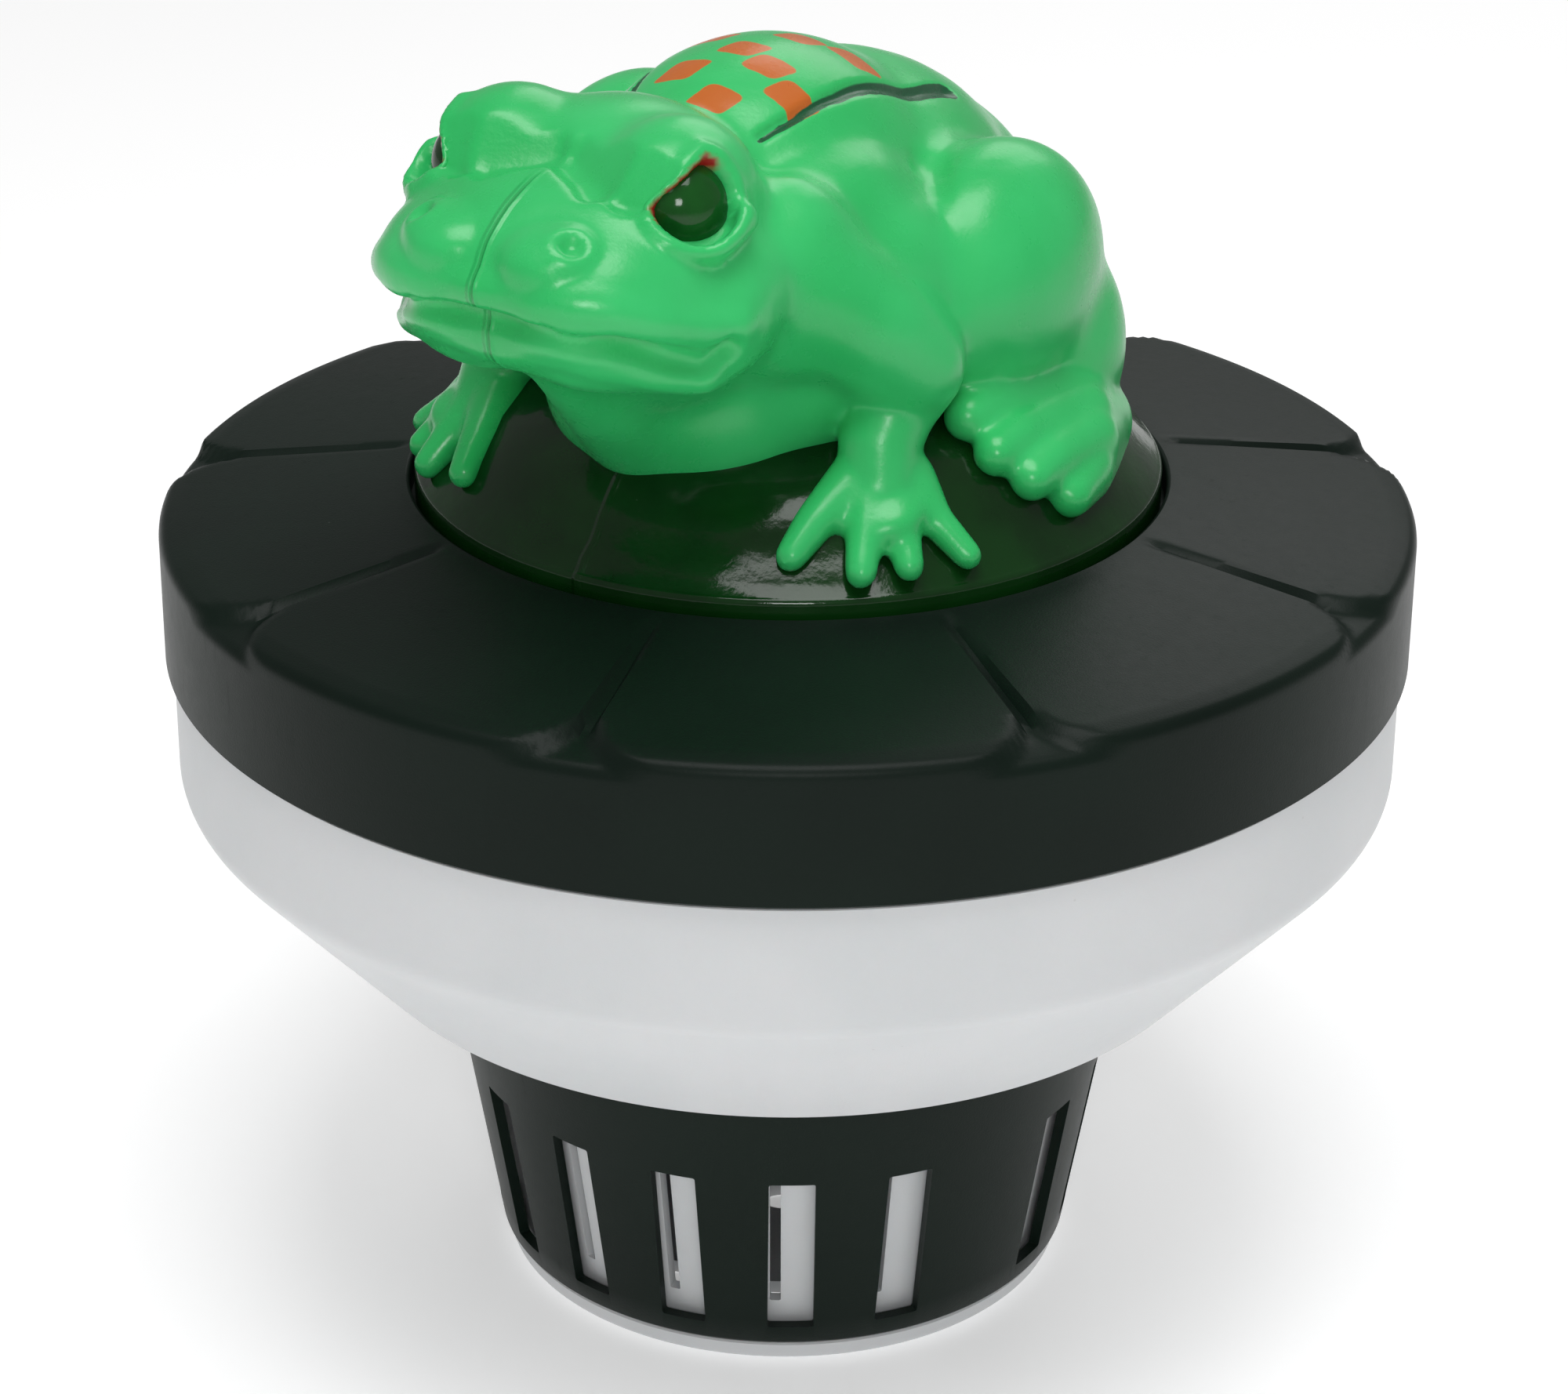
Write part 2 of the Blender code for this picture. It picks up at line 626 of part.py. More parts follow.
def frog_masses():
    """Trunk, chest, neck and head on the mirror plane. Millimetres above the dome's rim."""
    return (
        blob((0, 3, 32.5), (32.5, 48, 36.5))
        + blob((0, -12, 49), (23, 27, 24.6))
        + blob((0, 28, 30), (28, 28, 29))
        + blob((0, -25, 23), (25.5, 25, 20))
        + blob((0, -42, 44), (24, 22, 20))
        + blob((0, -55, 37), (17, 21, 12), (-20, 0, 0))
        + blob((0, -60, 54.5), (26, 24, 13.5))
    )


def frog_side_masses():
    """The left side's large muscles: muzzle, jaw, brow, jowl, neck, shoulder, thigh and hip."""
    return (
        blob((10, -65, 52.5), (16, 20, 11.5))
        + blob((9, -61, 42.5), (15.5, 17.5, 7.5))
        + blob((16.5, -53.5, 62.5), (10.5, 14.5, 12.3))
        + blob((22.5, -53, 48), (8.5, 13, 11))
        + blob((23, -36, 46), (12, 14, 16))
        + blob((33, 6, 38.5), (16.5, 25, 21.5), (12, 0, 0))
        + blob((37, 14, 19), (12, 18, 14))
        + blob((22, 26, 28), (14, 18, 20))
    )


def frog_side_limbs():
    """The left side's lips, nose pad, arm, fingers and hind toes."""
    return (
        blob((7.5, -74, 59.5), (8, 10.5, 5.2))
        + limb((0, -81.5, 54.2, 4.2), (13, -79.5, 52.8, 4.4), (22, -72.5, 49.3, 4.2), (28, -64, 45.3, 3.4))
        + limb((0, -77.5, 45.6, 4.0), (12, -75, 44.6, 4.2), (20.5, -69, 42.6, 4.0), (26.5, -62, 41.2, 3.2))
        + limb((24, -33, 45, 12.5), (33, -26, 37, 10), (37.5, -21, 31, 8.5))
        + limb((37.5, -21, 31, 8.2), (35, -25, 25, 7.6), (34.5, -29, 20, 7.4), (36, -31.5, 14.5, 6.2))
        + limb((33, -33, 16, 4.6), (31, -42, 11, 3.3), (30.2, -47.5, 6.6, 2.6))
        + limb((35.5, -33, 15, 4.6), (38, -39, 9.5, 3.2), (40, -43.2, 4.6, 2.6))
        + limb((37.5, -31, 14.5, 4.6), (42, -35, 9, 3.0), (45.2, -37.6, 4.9, 2.5))
        + limb((38.5, -28, 15.5, 4.6), (44.5, -29.5, 10, 2.8), (50.3, -29.8, 5, 2.4))
        + limb((41, 21, 9, 8), (43, 12, 15, 8), (40, -8, 19.0, 5.2), (39, -16.5, 19.0, 3.4))
        + limb((43, 20, 9, 8), (46, 9, 13, 7.6), (45.5, -11, 15.0, 4.8), (45.5, -18.5, 13.6, 3.3))
        + limb((43, 19, 8, 8), (49, 6, 11, 7.2), (50.5, -8, 11.4, 4.6), (51.2, -15.5, 9.6, 3.2))
        + limb((44, 18, 7, 7.5), (52.5, 1, 8.0, 5.6), (55.6, -8.5, 6.4, 3.0))
    )


def shrunk(muscles, by):
    """The same muscles drawn in by a wall, without those that get too small to hollow."""
    kept = [(centre, size - Vector((by, by, by)), tilt) for centre, size, tilt in muscles]
    return [muscle for muscle in kept if min(muscle[1]) > 2 * by]


def unit_ball():
    """A ball of radius 1, which each muscle stretches to its own size."""
    shape = bmesh.new()
    bmesh.ops.create_uvsphere(shape, u_segments=20, v_segments=12, radius=1.0)
    mesh = bpy.data.meshes.new("ball")
    shape.to_mesh(mesh)
    shape.free()
    return mesh


def fused(name, middle, side, voxel, triangles, tools):
    """One smooth closed skin round muscles: voxel remesh, smoothing and thinning."""
    ball = unit_ball()
    shape = bmesh.new()
    for muscles, turn in ((middle, 1), (side, 1), (side, -1)):
        for centre, size, tilt in muscles:
            place = Matrix.Translation(centre * FROG_MM) @ tilt.to_matrix().to_4x4()
            place = Matrix.Diagonal((turn, 1, 1, 1)) @ place @ Matrix.Diagonal((*(size * FROG_MM), 1.0))
            muscle = ball.copy()
            muscle.transform(place)
            if turn < 0:
                muscle.flip_normals()
            shape.from_mesh(muscle)
            bpy.data.meshes.remove(muscle)
    bmesh.ops.translate(shape, verts=shape.verts, vec=(0, 0, DOME_RIM_Z))
    mesh = bpy.data.meshes.new(name)
    shape.to_mesh(mesh)
    shape.free()
    body = as_object(name, mesh, tools)
    skin = body.modifiers.new("fuse", "REMESH")
    skin.mode = "VOXEL"
    skin.voxel_size = voxel
    smooth = body.modifiers.new("soften", "SMOOTH")
    smooth.factor = 0.5
    smooth.iterations = 3
    finished(body)
    thin = body.modifiers.new("thin", "DECIMATE")
    thin.ratio = min(1.0, triangles / sum(len(face.vertices) - 2 for face in body.data.polygons))
    thin.use_symmetry = True
    thin.symmetry_axis = "X"
    return finished(body)


def make_frog_cap(parts, tools, material):
    """The blow-moulded cap: frog and dome in one hollow piece, open underneath."""
    profile = dome_profile() + [
        (DOME_RADIUS - RIM_EDGE, DOME_RIM_Z + RIM_EDGE),
        (DOME_RADIUS, DOME_RIM_Z),
        (DOME_RADIUS, DOME_BOTTOM_Z),
        (0.0, DOME_BOTTOM_Z),
    ]
    cap = turned("frog_cap", profile, parts, material)
    side = frog_side_masses() + frog_side_limbs()
    body = fused("frog_body", frog_masses(), side, SKIN_VOXEL, SKIN_TRIANGLES, tools)
    boolean(cap, as_tool(body), "UNION")
    wall = FROG_WALL / FROG_MM
    inner = (shrunk(frog_masses(), wall), shrunk(frog_side_masses(), wall))
    cavity = fused("frog_cavity", *inner, CAVITY_VOXEL, CAVITY_TRIANGLES, tools)
    boolean(cap, as_tool(cavity), "DIFFERENCE")
    hollow = turned(
        "cap_hollow",
        [
            (0.0, DOME_RIM_Z + 30 * FROG_MM),
            (0.30 * DOME_RADIUS, DOME_RIM_Z + 26 * FROG_MM),
            (0.68 * DOME_RADIUS, DOME_RIM_Z + 12.5 * FROG_MM),
            (DOME_RADIUS - DOME_WALL, DOME_RIM_Z - RIM_EDGE / 4),
            (DOME_RADIUS - DOME_WALL, DOME_BOTTOM_Z - TOOL_REACH),
            (0.0, DOME_BOTTOM_Z - TOOL_REACH),
        ],
        tools,
    )
    boolean(cap, as_tool(hollow), "DIFFERENCE")
    return cap


def main():
    """Build the dispenser from the bottom up."""
    clear_scene()
    parts = new_collection("floating_chlorine_dispenser")
    tools = new_collection("cutters")
    tools.hide_render = True
    white = plastic("white_plastic", (0.60, 0.62, 0.63), 0.45)
    dark = plastic("dark_green_plastic", (0.012, 0.022, 0.017), 0.42)
    green = plastic("frog_green_plastic", (0.035, 0.50, 0.12), 0.30)
    black = plastic("seal_rubber", (0.015, 0.015, 0.015), 0.70)
    make_bottom_cap(parts, tools, white)
    make_tablet_basket(parts, tools, white)
    make_flow_collar(parts, tools, dark)
    make_float_hull(parts, white)
    make_hull_seal(parts, black)
    make_lid_ring(parts, tools, dark)
    make_cap_seal(parts, black)
    make_cap_plug(parts, tools, dark)
    make_frog_cap(parts, tools, green)


main()
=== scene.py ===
"""Looks of the floating chlorine dispenser: finer shells, the sculpted frog and their finishes.

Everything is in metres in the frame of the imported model: +Z up, the frog faces -Y, and the
origin is the middle of the bottom cap's underside.
"""

from __future__ import annotations

import logging
import math
from collections.abc import Iterable, Sequence
from dataclasses import dataclass, field
from enum import Enum

import bpy
import numpy as np
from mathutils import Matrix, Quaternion, Vector

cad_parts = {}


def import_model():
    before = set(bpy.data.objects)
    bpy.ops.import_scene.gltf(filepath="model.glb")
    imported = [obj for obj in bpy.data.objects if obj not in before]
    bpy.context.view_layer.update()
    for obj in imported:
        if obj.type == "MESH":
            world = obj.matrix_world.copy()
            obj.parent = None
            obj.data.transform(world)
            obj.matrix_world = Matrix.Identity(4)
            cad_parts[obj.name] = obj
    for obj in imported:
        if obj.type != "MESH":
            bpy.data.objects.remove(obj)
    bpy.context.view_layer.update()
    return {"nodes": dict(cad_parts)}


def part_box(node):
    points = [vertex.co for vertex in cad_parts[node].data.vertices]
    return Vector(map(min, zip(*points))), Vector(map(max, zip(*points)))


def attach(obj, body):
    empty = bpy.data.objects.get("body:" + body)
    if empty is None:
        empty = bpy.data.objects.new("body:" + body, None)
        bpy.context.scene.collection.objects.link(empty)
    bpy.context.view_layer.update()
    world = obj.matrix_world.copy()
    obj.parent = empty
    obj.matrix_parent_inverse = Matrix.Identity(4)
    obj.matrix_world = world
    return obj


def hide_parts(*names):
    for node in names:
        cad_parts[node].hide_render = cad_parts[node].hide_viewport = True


LOG = logging.getLogger("dispenser")
MM = 0.001
SEAT_GAP = 0.0003
SAME_SIZE = 1e-9
Colour = tuple[float, float, float]
Point = tuple[float, float, float]
Ring = tuple[float, float]
Box = tuple[Vector, Vector]


class Body(str, Enum):
    """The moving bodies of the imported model."""

    FLOAT = "float"
    COLLAR = "collar"
    SEAL = "seal"
    CAP = "cap"


class Slot(str, Enum):
    """The record's material slots."""

    WHITE = "white_plastic"
    DARK = "dark_green_plastic"
    FROG = "frog_green"
    RUBBER = "seal_rubber"


# ---------------------------------------------------------------------------------------------
# Shader maths
# ---------------------------------------------------------------------------------------------
class Field:
    """A number that varies over a surface: a shader socket that can be used in expressions."""

    def __init__(self, shader: Shader, socket: bpy.types.NodeSocket) -> None:
        """Keep the socket and the shader that it belongs to."""
        self.shader = shader
        self.socket = socket

    def _math(self, operation: str, *values: Field | float) -> Field:
        """Add one Math node.

        Args:
            operation: Blender's name of the operation.
            values: its operands in order.

        Returns:
            The node's result.
        """
        node = self.shader.node("ShaderNodeMath", {"operation": operation}, dict(enumerate(values)))
        return Field(self.shader, node.outputs[0])

    def __add__(self, other: Field | float) -> Field:
        """Return the sum."""
        return self._math("ADD", self, other)

    __radd__ = __add__

    def __sub__(self, other: Field | float) -> Field:
        """Return the difference."""
        return self._math("SUBTRACT", self, other)

    def __rsub__(self, other: float) -> Field:
        """Return a number less this field."""
        return self._math("SUBTRACT", other, self)

    def __mul__(self, other: Field | float) -> Field:
        """Return the product."""
        return self._math("MULTIPLY", self, other)

    __rmul__ = __mul__

    def __truediv__(self, other: Field | float) -> Field:
        """Return the quotient."""
        return self._math("DIVIDE", self, other)

    def __abs__(self) -> Field:
        """Return the size without its sign."""
        return self._math("ABSOLUTE", self)

    def most(self, other: Field | float) -> Field:
        """Return the larger of the two."""
        return self._math("MAXIMUM", self, other)

    def power(self, exponent: float) -> Field:
        """Return the field raised to a power."""
        return self._math("POWER", self, exponent)

    def ramp(self, low: float, high: float) -> Field:
        """Rise smoothly from 0 at low to 1 at high. High may be below low.

        Args:
            low: where the result is 0.
            high: where the result is 1.

        Returns:
            The smooth step.
        """
        settings = {"interpolation_type": "SMOOTHSTEP"}
        values = {"Value": self, "From Min": low, "From Max": high}
        if high < low:
            values = {"Value": self, "From Min": high, "From Max": low, "To Min": 1.0, "To Max": 0.0}
        node = self.shader.node("ShaderNodeMapRange", settings, values)
        return Field(self.shader, node.outputs["Result"])


class Shader:
    """One material under construction, with a Principled shader at its end."""

    def __init__(self, name: str) -> None:
        """Start an empty material.

        Args:
            name: the finish's name.
        """
        self.material = bpy.data.materials.new(name)
        self.material.use_nodes = True
        self.tree = self.material.node_tree
        self.tree.nodes.clear()
        output = self.tree.nodes.new("ShaderNodeOutputMaterial")
        self.surface = self.tree.nodes.new("ShaderNodeBsdfPrincipled")
        self.tree.links.new(self.surface.outputs["BSDF"], output.inputs["Surface"])

    def node(self, kind: str, settings: dict | None = None, inputs: dict | None = None) -> bpy.types.Node:
        """Add a node of any type.

        Args:
            kind: the node's type.
            settings: its properties, set first.
            inputs: values, fields or sockets by input name or number.

        Returns:
            The node.
        """
        made = self.tree.nodes.new(kind)
        for key, value in (settings or {}).items():
            setattr(made, key, value)
        for key, value in (inputs or {}).items():
            self.feed(made.inputs[key], value)
        return made

    def feed(self, target: bpy.types.NodeSocket, value: object) -> None:
        """Link or set one input.

        Args:
            target: the input socket.
            value: a field, an output socket, or a plain value.
        """
        if isinstance(value, Field):
            self.tree.links.new(value.socket, target)
        elif isinstance(value, bpy.types.NodeSocket):
            self.tree.links.new(value, target)
        else:
            target.default_value = value

    def position(self) -> tuple[Field, Field, Field]:
        """Return x, y and z on the piece, in metres."""
        place = self.node("ShaderNodeTexCoord").outputs["Object"]
        axes = self.node("ShaderNodeSeparateXYZ", inputs={0: place})
        return tuple(Field(self, axes.outputs[i]) for i in range(3))

    def mask(self, name: str) -> Field:
        """Return a mask that is stored on the mesh.

        Args:
            name: the attribute's name.

        Returns:
            The mask.
        """
        return Field(self, self.node("ShaderNodeAttribute", {"attribute_name": name}).outputs["Fac"])

    def stretched(self, scale: Point) -> bpy.types.NodeSocket:
        """Return the position scaled along each axis, for a pattern with a grain."""
        place = self.node("ShaderNodeTexCoord").outputs["Object"]
        return self.node("ShaderNodeMapping", inputs={"Vector": place, "Scale": scale}).outputs[0]

    def noise(self, size: float, detail: float = 3.0, roughness: float = 0.5,
              vector: bpy.types.NodeSocket | None = None) -> Field:
        """Add soft noise.

        Args:
            size: the rough size of its patches, in metres.
            detail: how many finer layers it has.
            roughness: how strong the finer layers are.
            vector: the position it reads, the plain one if left out.

        Returns:
            The noise, about 0.5 on average.
        """
        place = vector or self.node("ShaderNodeTexCoord").outputs["Object"]
        inputs = {"Vector": place, "Scale": 1.0 / size, "Detail": detail, "Roughness": roughness}
        return Field(self, self.node("ShaderNodeTexNoise", inputs=inputs).outputs["Fac"])

    def cells(self, size: float) -> Field:
        """Return the distance to the nearest of many scattered points, for specks and pits."""
        place = self.node("ShaderNodeTexCoord").outputs["Object"]
        made = self.node("ShaderNodeTexVoronoi", inputs={"Vector": place, "Scale": 1.0 / size})
        return Field(self, made.outputs["Distance"])

    def blend(self, share: Field | float, first: object, second: object) -> bpy.types.NodeSocket:
        """Mix two colours.

        Args:
            share: 0 gives the first, 1 the second.
            first: a colour or a colour socket.
            second: a colour or a colour socket.

        Returns:
            The mixed colour's socket.
        """
        mix = self.node("ShaderNodeMix", {"data_type": "RGBA", "clamp_factor": True})
        self.feed(mix.inputs["Factor"], share)
        for target, value in ((mix.inputs[6], first), (mix.inputs[7], second)):
            self.feed(target, (*value, 1.0) if isinstance(value, tuple) else value)
        return mix.outputs[2]

    def relief(self, height: Field, depth: float, strength: float = 1.0) -> None:
        """Turn a height into surface relief.

        Args:
            height: the height over the surface, 0 to 1.
            depth: how deep a height of 1 is, in metres.
            strength: the share of the relief that shows.
        """
        inputs = {"Height": height, "Distance": depth, "Strength": strength}
        bump = self.node("ShaderNodeBump", inputs=inputs)
        self.feed(self.surface.inputs["Normal"], bump.outputs[0])

    def finish(self, colour: object, roughness: object, **constants: object) -> bpy.types.Material:
        """Set the shader's ends.

        Args:
            colour: the base colour or its socket.
            roughness: the roughness or its field.
            constants: other inputs that stay the same all over, with _ for a space.

        Returns:
            The material.
        """
        self.feed(self.surface.inputs["Base Color"], (*colour, 1.0) if isinstance(colour, tuple) else colour)
        self.feed(self.surface.inputs["Roughness"], roughness)
        for name, value in constants.items():
            self.surface.inputs[name.replace("_", " ")].default_value = value
        return self.material


# ---------------------------------------------------------------------------------------------
# Finishes
# ---------------------------------------------------------------------------------------------
@dataclass(frozen=True)
class MouldedPlastic:
    """Injection-moulded plastic: faint flow marks, fine texture, handling scuffs and dust."""

    name: str
    colour: Colour
    tint: Colour
    roughness: float
    scuff: float = 0.06
    flow_size: float = 0.045
    mottle_size: float = 0.006
    streak_size: float = 0.0016
    streak_grain: Point = (1.0, 1.0, 0.12)
    grain_size: float = 0.00035
    wave_size: float = 0.012
    relief_depth: float = 0.00008
    specks: Colour = (0.35, 0.37, 0.35)
    speck_size: float = 0.0045
    speck_share: float = 0.35
    through: float = 0.0
    shine: float = 0.5

    def material(self) -> bpy.types.Material:
        """Return the finish as a material."""
        shader = Shader(self.name)
        flow = shader.noise(self.flow_size, 2.0).ramp(0.35, 0.68)
        mottle = shader.noise(self.mottle_size, 4.0, 0.6)
        colour = shader.blend(flow * 0.55 + mottle * 0.30, self.colour, self.tint)
        dust_patch = shader.noise(0.020, 3.0).ramp(0.58, 0.72)
        speck = shader.cells(self.speck_size).ramp(0.055, 0.025) * dust_patch
        colour = shader.blend(speck * self.speck_share, colour, self.specks)
        along = shader.stretched(self.streak_grain)
        streak = shader.noise(self.streak_size, 3.0, 0.55, along).ramp(0.60, 0.80)
        patches = shader.noise(0.0022, 4.0, 0.6) * 0.07 + flow * 0.03
        rough = patches + streak * self.scuff + self.roughness - 0.05
        grain = shader.noise(self.grain_size, 2.0, 0.6)
        wave = shader.noise(self.wave_size, 2.0)
        shader.relief(grain * 0.5 + wave * 0.5, self.relief_depth, 0.6)
        return shader.finish(
            colour,
            rough,
            Subsurface_Weight=self.through,
            Subsurface_Scale=0.002,
            Specular_IOR_Level=self.shine,
        )


@dataclass(frozen=True)
class FrogGreen:
    """The frog's light green blow-moulded plastic, with its painted back."""

    name: str = "frog_light_green"
    colour: Colour = (0.022, 0.450, 0.110)
    bright: Colour = (0.048, 0.570, 0.170)
    orange: Colour = (0.560, 0.115, 0.012)
    line: Colour = (0.006, 0.085, 0.030)
    roughness: float = 0.27
    red: Colour = (0.300, 0.010, 0.008)
    seam: Colour = (0.004, 0.120, 0.020)
    mark_middles: tuple[Ring, ...] = (
        (0.0037, -0.0277), (0.0125, -0.0197), (-0.0053, -0.0225), (0.0064, -0.0167), (0.0108, 0.0010),
        (0.0003, -0.0140), (-0.0085, -0.0090), (0.0034, -0.0030), (-0.0020, 0.0090),
    )
    mark_size: Ring = (0.0031, 0.0027)
    mark_skew: float = 0.30
    mark_corner: float = 5.0
    back_height: Ring = (0.196, 0.199)
    seam_start: Ring = (-0.066, -0.074)
    relief_depth: float = 0.0006

    def marks(self, shader: Shader) -> Field:
        """Return the mask of the rounded orange marks on the back.

        Args:
            shader: the material they are painted in.

        Returns:
            1 on a mark and 0 off it.
        """
        x, y, z = shader.position()
        drift = shader.noise(0.0030, 2.0) * 0.0006 - 0.0003
        total = None
        for across, along in self.mark_middles:
            side = abs(x - across - (y - along) * self.mark_skew + drift) / self.mark_size[0]
            length = abs(y - along + drift) / self.mark_size[1]
            box = side.power(self.mark_corner) + length.power(self.mark_corner)
            inside = box.ramp(1.30, 0.85)
            total = inside if total is None else total.most(inside)
        return total * z.ramp(*self.back_height)

    def material(self) -> bpy.types.Material:
        """Return the finish as a material."""
        shader = Shader(self.name)
        cloud = shader.noise(0.030, 2.0).ramp(0.35, 0.65)
        mottle = shader.noise(0.0045, 4.0, 0.6)
        colour = shader.blend(cloud * 0.5 + mottle * 0.3, self.colour, self.bright)
        colour = shader.blend(self.marks(shader) * 0.96, colour, self.orange)
        colour = shader.blend(shader.mask("stripe").ramp(0.35, 0.62), colour, self.line)
        colour = shader.blend(shader.mask("red"), colour, self.red)
        x, y, _ = shader.position()
        wander = shader.noise(0.0060, 3.0) * 0.0006 - 0.0003
        off_seam = abs(x + wander)
        front = y.ramp(*self.seam_start)
        seam = off_seam.ramp(0.00038, 0.00012) * front
        colour = shader.blend(seam * 0.38, colour, self.seam)
        rough = shader.noise(0.0030, 4.0, 0.6) * 0.10 + cloud * 0.04 + self.roughness - 0.06
        fine = shader.noise(0.0008, 2.0, 0.6)
        wave = shader.noise(0.007, 2.0)
        ridge = off_seam.ramp(0.0012, 0.0004) * front - seam * 0.9
        shader.relief(fine * 0.08 + wave * 0.25 + ridge * 0.9, self.relief_depth, 0.6)
        return shader.finish(
            colour,
            rough,
            Subsurface_Weight=0.12,
            Subsurface_Scale=0.004,
            Subsurface_Radius=(0.4, 1.0, 0.5),
            Specular_IOR_Level=0.42,
        )


@dataclass(frozen=True)
class GlossPaint:
    """Sprayed gloss paint: deep colour, a smooth wet coat, faint ripple and a few rubs."""

    name: str
    colour: Colour
    deep: Colour
    roughness: float = 0.10
    ripple_depth: float = 0.00024
    rub: Colour = (0.05, 0.07, 0.05)
    seam: bool = False
    seam_start: Ring = (-0.030, -0.036)
    shine: float = 0.25

    def material(self) -> bpy.types.Material:
        """Return the finish as a material."""
        shader = Shader(self.name)
        cloud = shader.noise(0.018, 3.0).ramp(0.35, 0.65)
        colour = shader.blend(cloud, self.colour, self.deep)
        rub = shader.noise(0.0014, 4.0, 0.65).ramp(0.66, 0.74) * shader.noise(0.010, 2.0).ramp(0.55, 0.68)
        colour = shader.blend(rub * 0.45, colour, self.rub)
        rough = shader.noise(0.0035, 3.0) * 0.05 + rub * 0.30 + self.roughness
        ripple = shader.noise(0.0060, 2.0) * 0.8 + shader.noise(0.0010, 2.0) * 0.2
        if self.seam:
            x, y, _ = shader.position()
            off_seam = abs(x + shader.noise(0.0080, 2.0) * 0.0006 - 0.0003)
            ripple = ripple + off_seam.ramp(0.0010, 0.0002) * y.ramp(*self.seam_start) * 2.0
        shader.relief(ripple, self.ripple_depth, 0.6)
        return shader.finish(
            colour, rough, Coat_Weight=0.12, Coat_Roughness=0.05, Specular_IOR_Level=self.shine
        )


@dataclass(frozen=True)
class Rubber:
    """Dull black seal rubber with a bloom."""

    name: str = "seal_black_rubber"
    colour: Colour = (0.012, 0.012, 0.012)
    bloom: Colour = (0.060, 0.060, 0.058)

    def material(self) -> bpy.types.Material:
        """Return the finish as a material."""
        shader = Shader(self.name)
        haze = shader.noise(0.006, 4.0, 0.6).ramp(0.45, 0.75)
        grain = shader.noise(0.0006, 3.0, 0.6)
        shader.relief(grain, 0.00008, 0.6)
        return shader.finish(shader.blend(haze * 0.6, self.colour, self.bloom), haze * 0.15 + 0.62)


# ---------------------------------------------------------------------------------------------
# Mesh tools
# ---------------------------------------------------------------------------------------------
def deselect() -> None:
    """Leave object mode with nothing selected."""
    if bpy.context.object and bpy.context.object.mode != "OBJECT":
        bpy.ops.object.mode_set(mode="OBJECT")
    bpy.ops.object.select_all(action="DESELECT")


def make_active(piece: bpy.types.Object, *others: bpy.types.Object) -> None:
    """Select a piece alone, or with others, and make it the active one."""
    deselect()
    for obj in (piece, *others):
        obj.select_set(True)
    bpy.context.view_layer.objects.active = piece


def named(name: str) -> bpy.types.Object:
    """Name the active object, fix its place into its mesh and return it."""
    piece = bpy.context.object
    piece.name = name
    piece.data.name = name
    bpy.ops.object.transform_apply(location=True, rotation=True, scale=True)
    return piece


def apply(piece: bpy.types.Object, kind: str, **settings: object) -> None:
    """Add a modifier to a piece and apply it.

    Args:
        piece: the piece.
        kind: the modifier's type.
        settings: its properties.
    """
    make_active(piece)
    modifier = piece.modifiers.new(kind.lower(), kind)
    for key, value in settings.items():
        setattr(modifier, key, value)
    bpy.ops.object.modifier_apply(modifier=modifier.name)


def points_of(piece: bpy.types.Object) -> np.ndarray:
    """Return the piece's vertices as an array of positions."""
    places = np.empty(len(piece.data.vertices) * 3, np.float64)
    piece.data.vertices.foreach_get("co", places)
    return places.reshape(-1, 3)


def push(piece: bpy.types.Object, amounts: np.ndarray, distance: float, direction: str = "NORMAL") -> None:
    """Move a piece's surface by a Displace modifier, weighted point by point.

    Args:
        piece: the piece.
        amounts: one weight from 0 to 1 for each vertex.
        distance: how far a weight of 1 moves, outwards if positive.
        direction: NORMAL, X, Y or Z.
    """
    group = piece.vertex_groups.new(name="push")
    levels = np.round(np.clip(amounts, 0.0, 1.0) * 250).astype(int)
    for level in np.unique(levels[levels > 0]):
        group.add(np.nonzero(levels == level)[0].tolist(), float(level) / 250, "REPLACE")
    apply(piece, "DISPLACE", vertex_group="push", strength=distance, mid_level=0.0, direction=direction)
    piece.vertex_groups.remove(piece.vertex_groups["push"])


def step(values: np.ndarray, low: float, high: float) -> np.ndarray:
    """Rise smoothly from 0 at low to 1 at high.

    Args:
        values: where to read the step.
        low: where it is 0.
        high: where it is 1. It may be below low.

    Returns:
        The step at each value.
    """
    share = np.clip((values - low) / (high - low), 0.0, 1.0)
    return share * share * (3.0 - 2.0 * share)


def rounded(corner: Ring, radius: float, start: float, end: float, points: int = 5) -> list[Ring]:
    """Return an arc of a turned profile.

    Args:
        corner: the arc's centre, as (radius, height).
        radius: the arc's radius.
        start: the first angle in degrees, 0 outwards and 90 up.
        end: the last angle in degrees.
        points: how many points it has.

    Returns:
        The arc's points.
    """
    angles = np.radians(np.linspace(start, end, points))
    return [(corner[0] + radius * math.cos(a), corner[1] + radius * math.sin(a)) for a in angles]


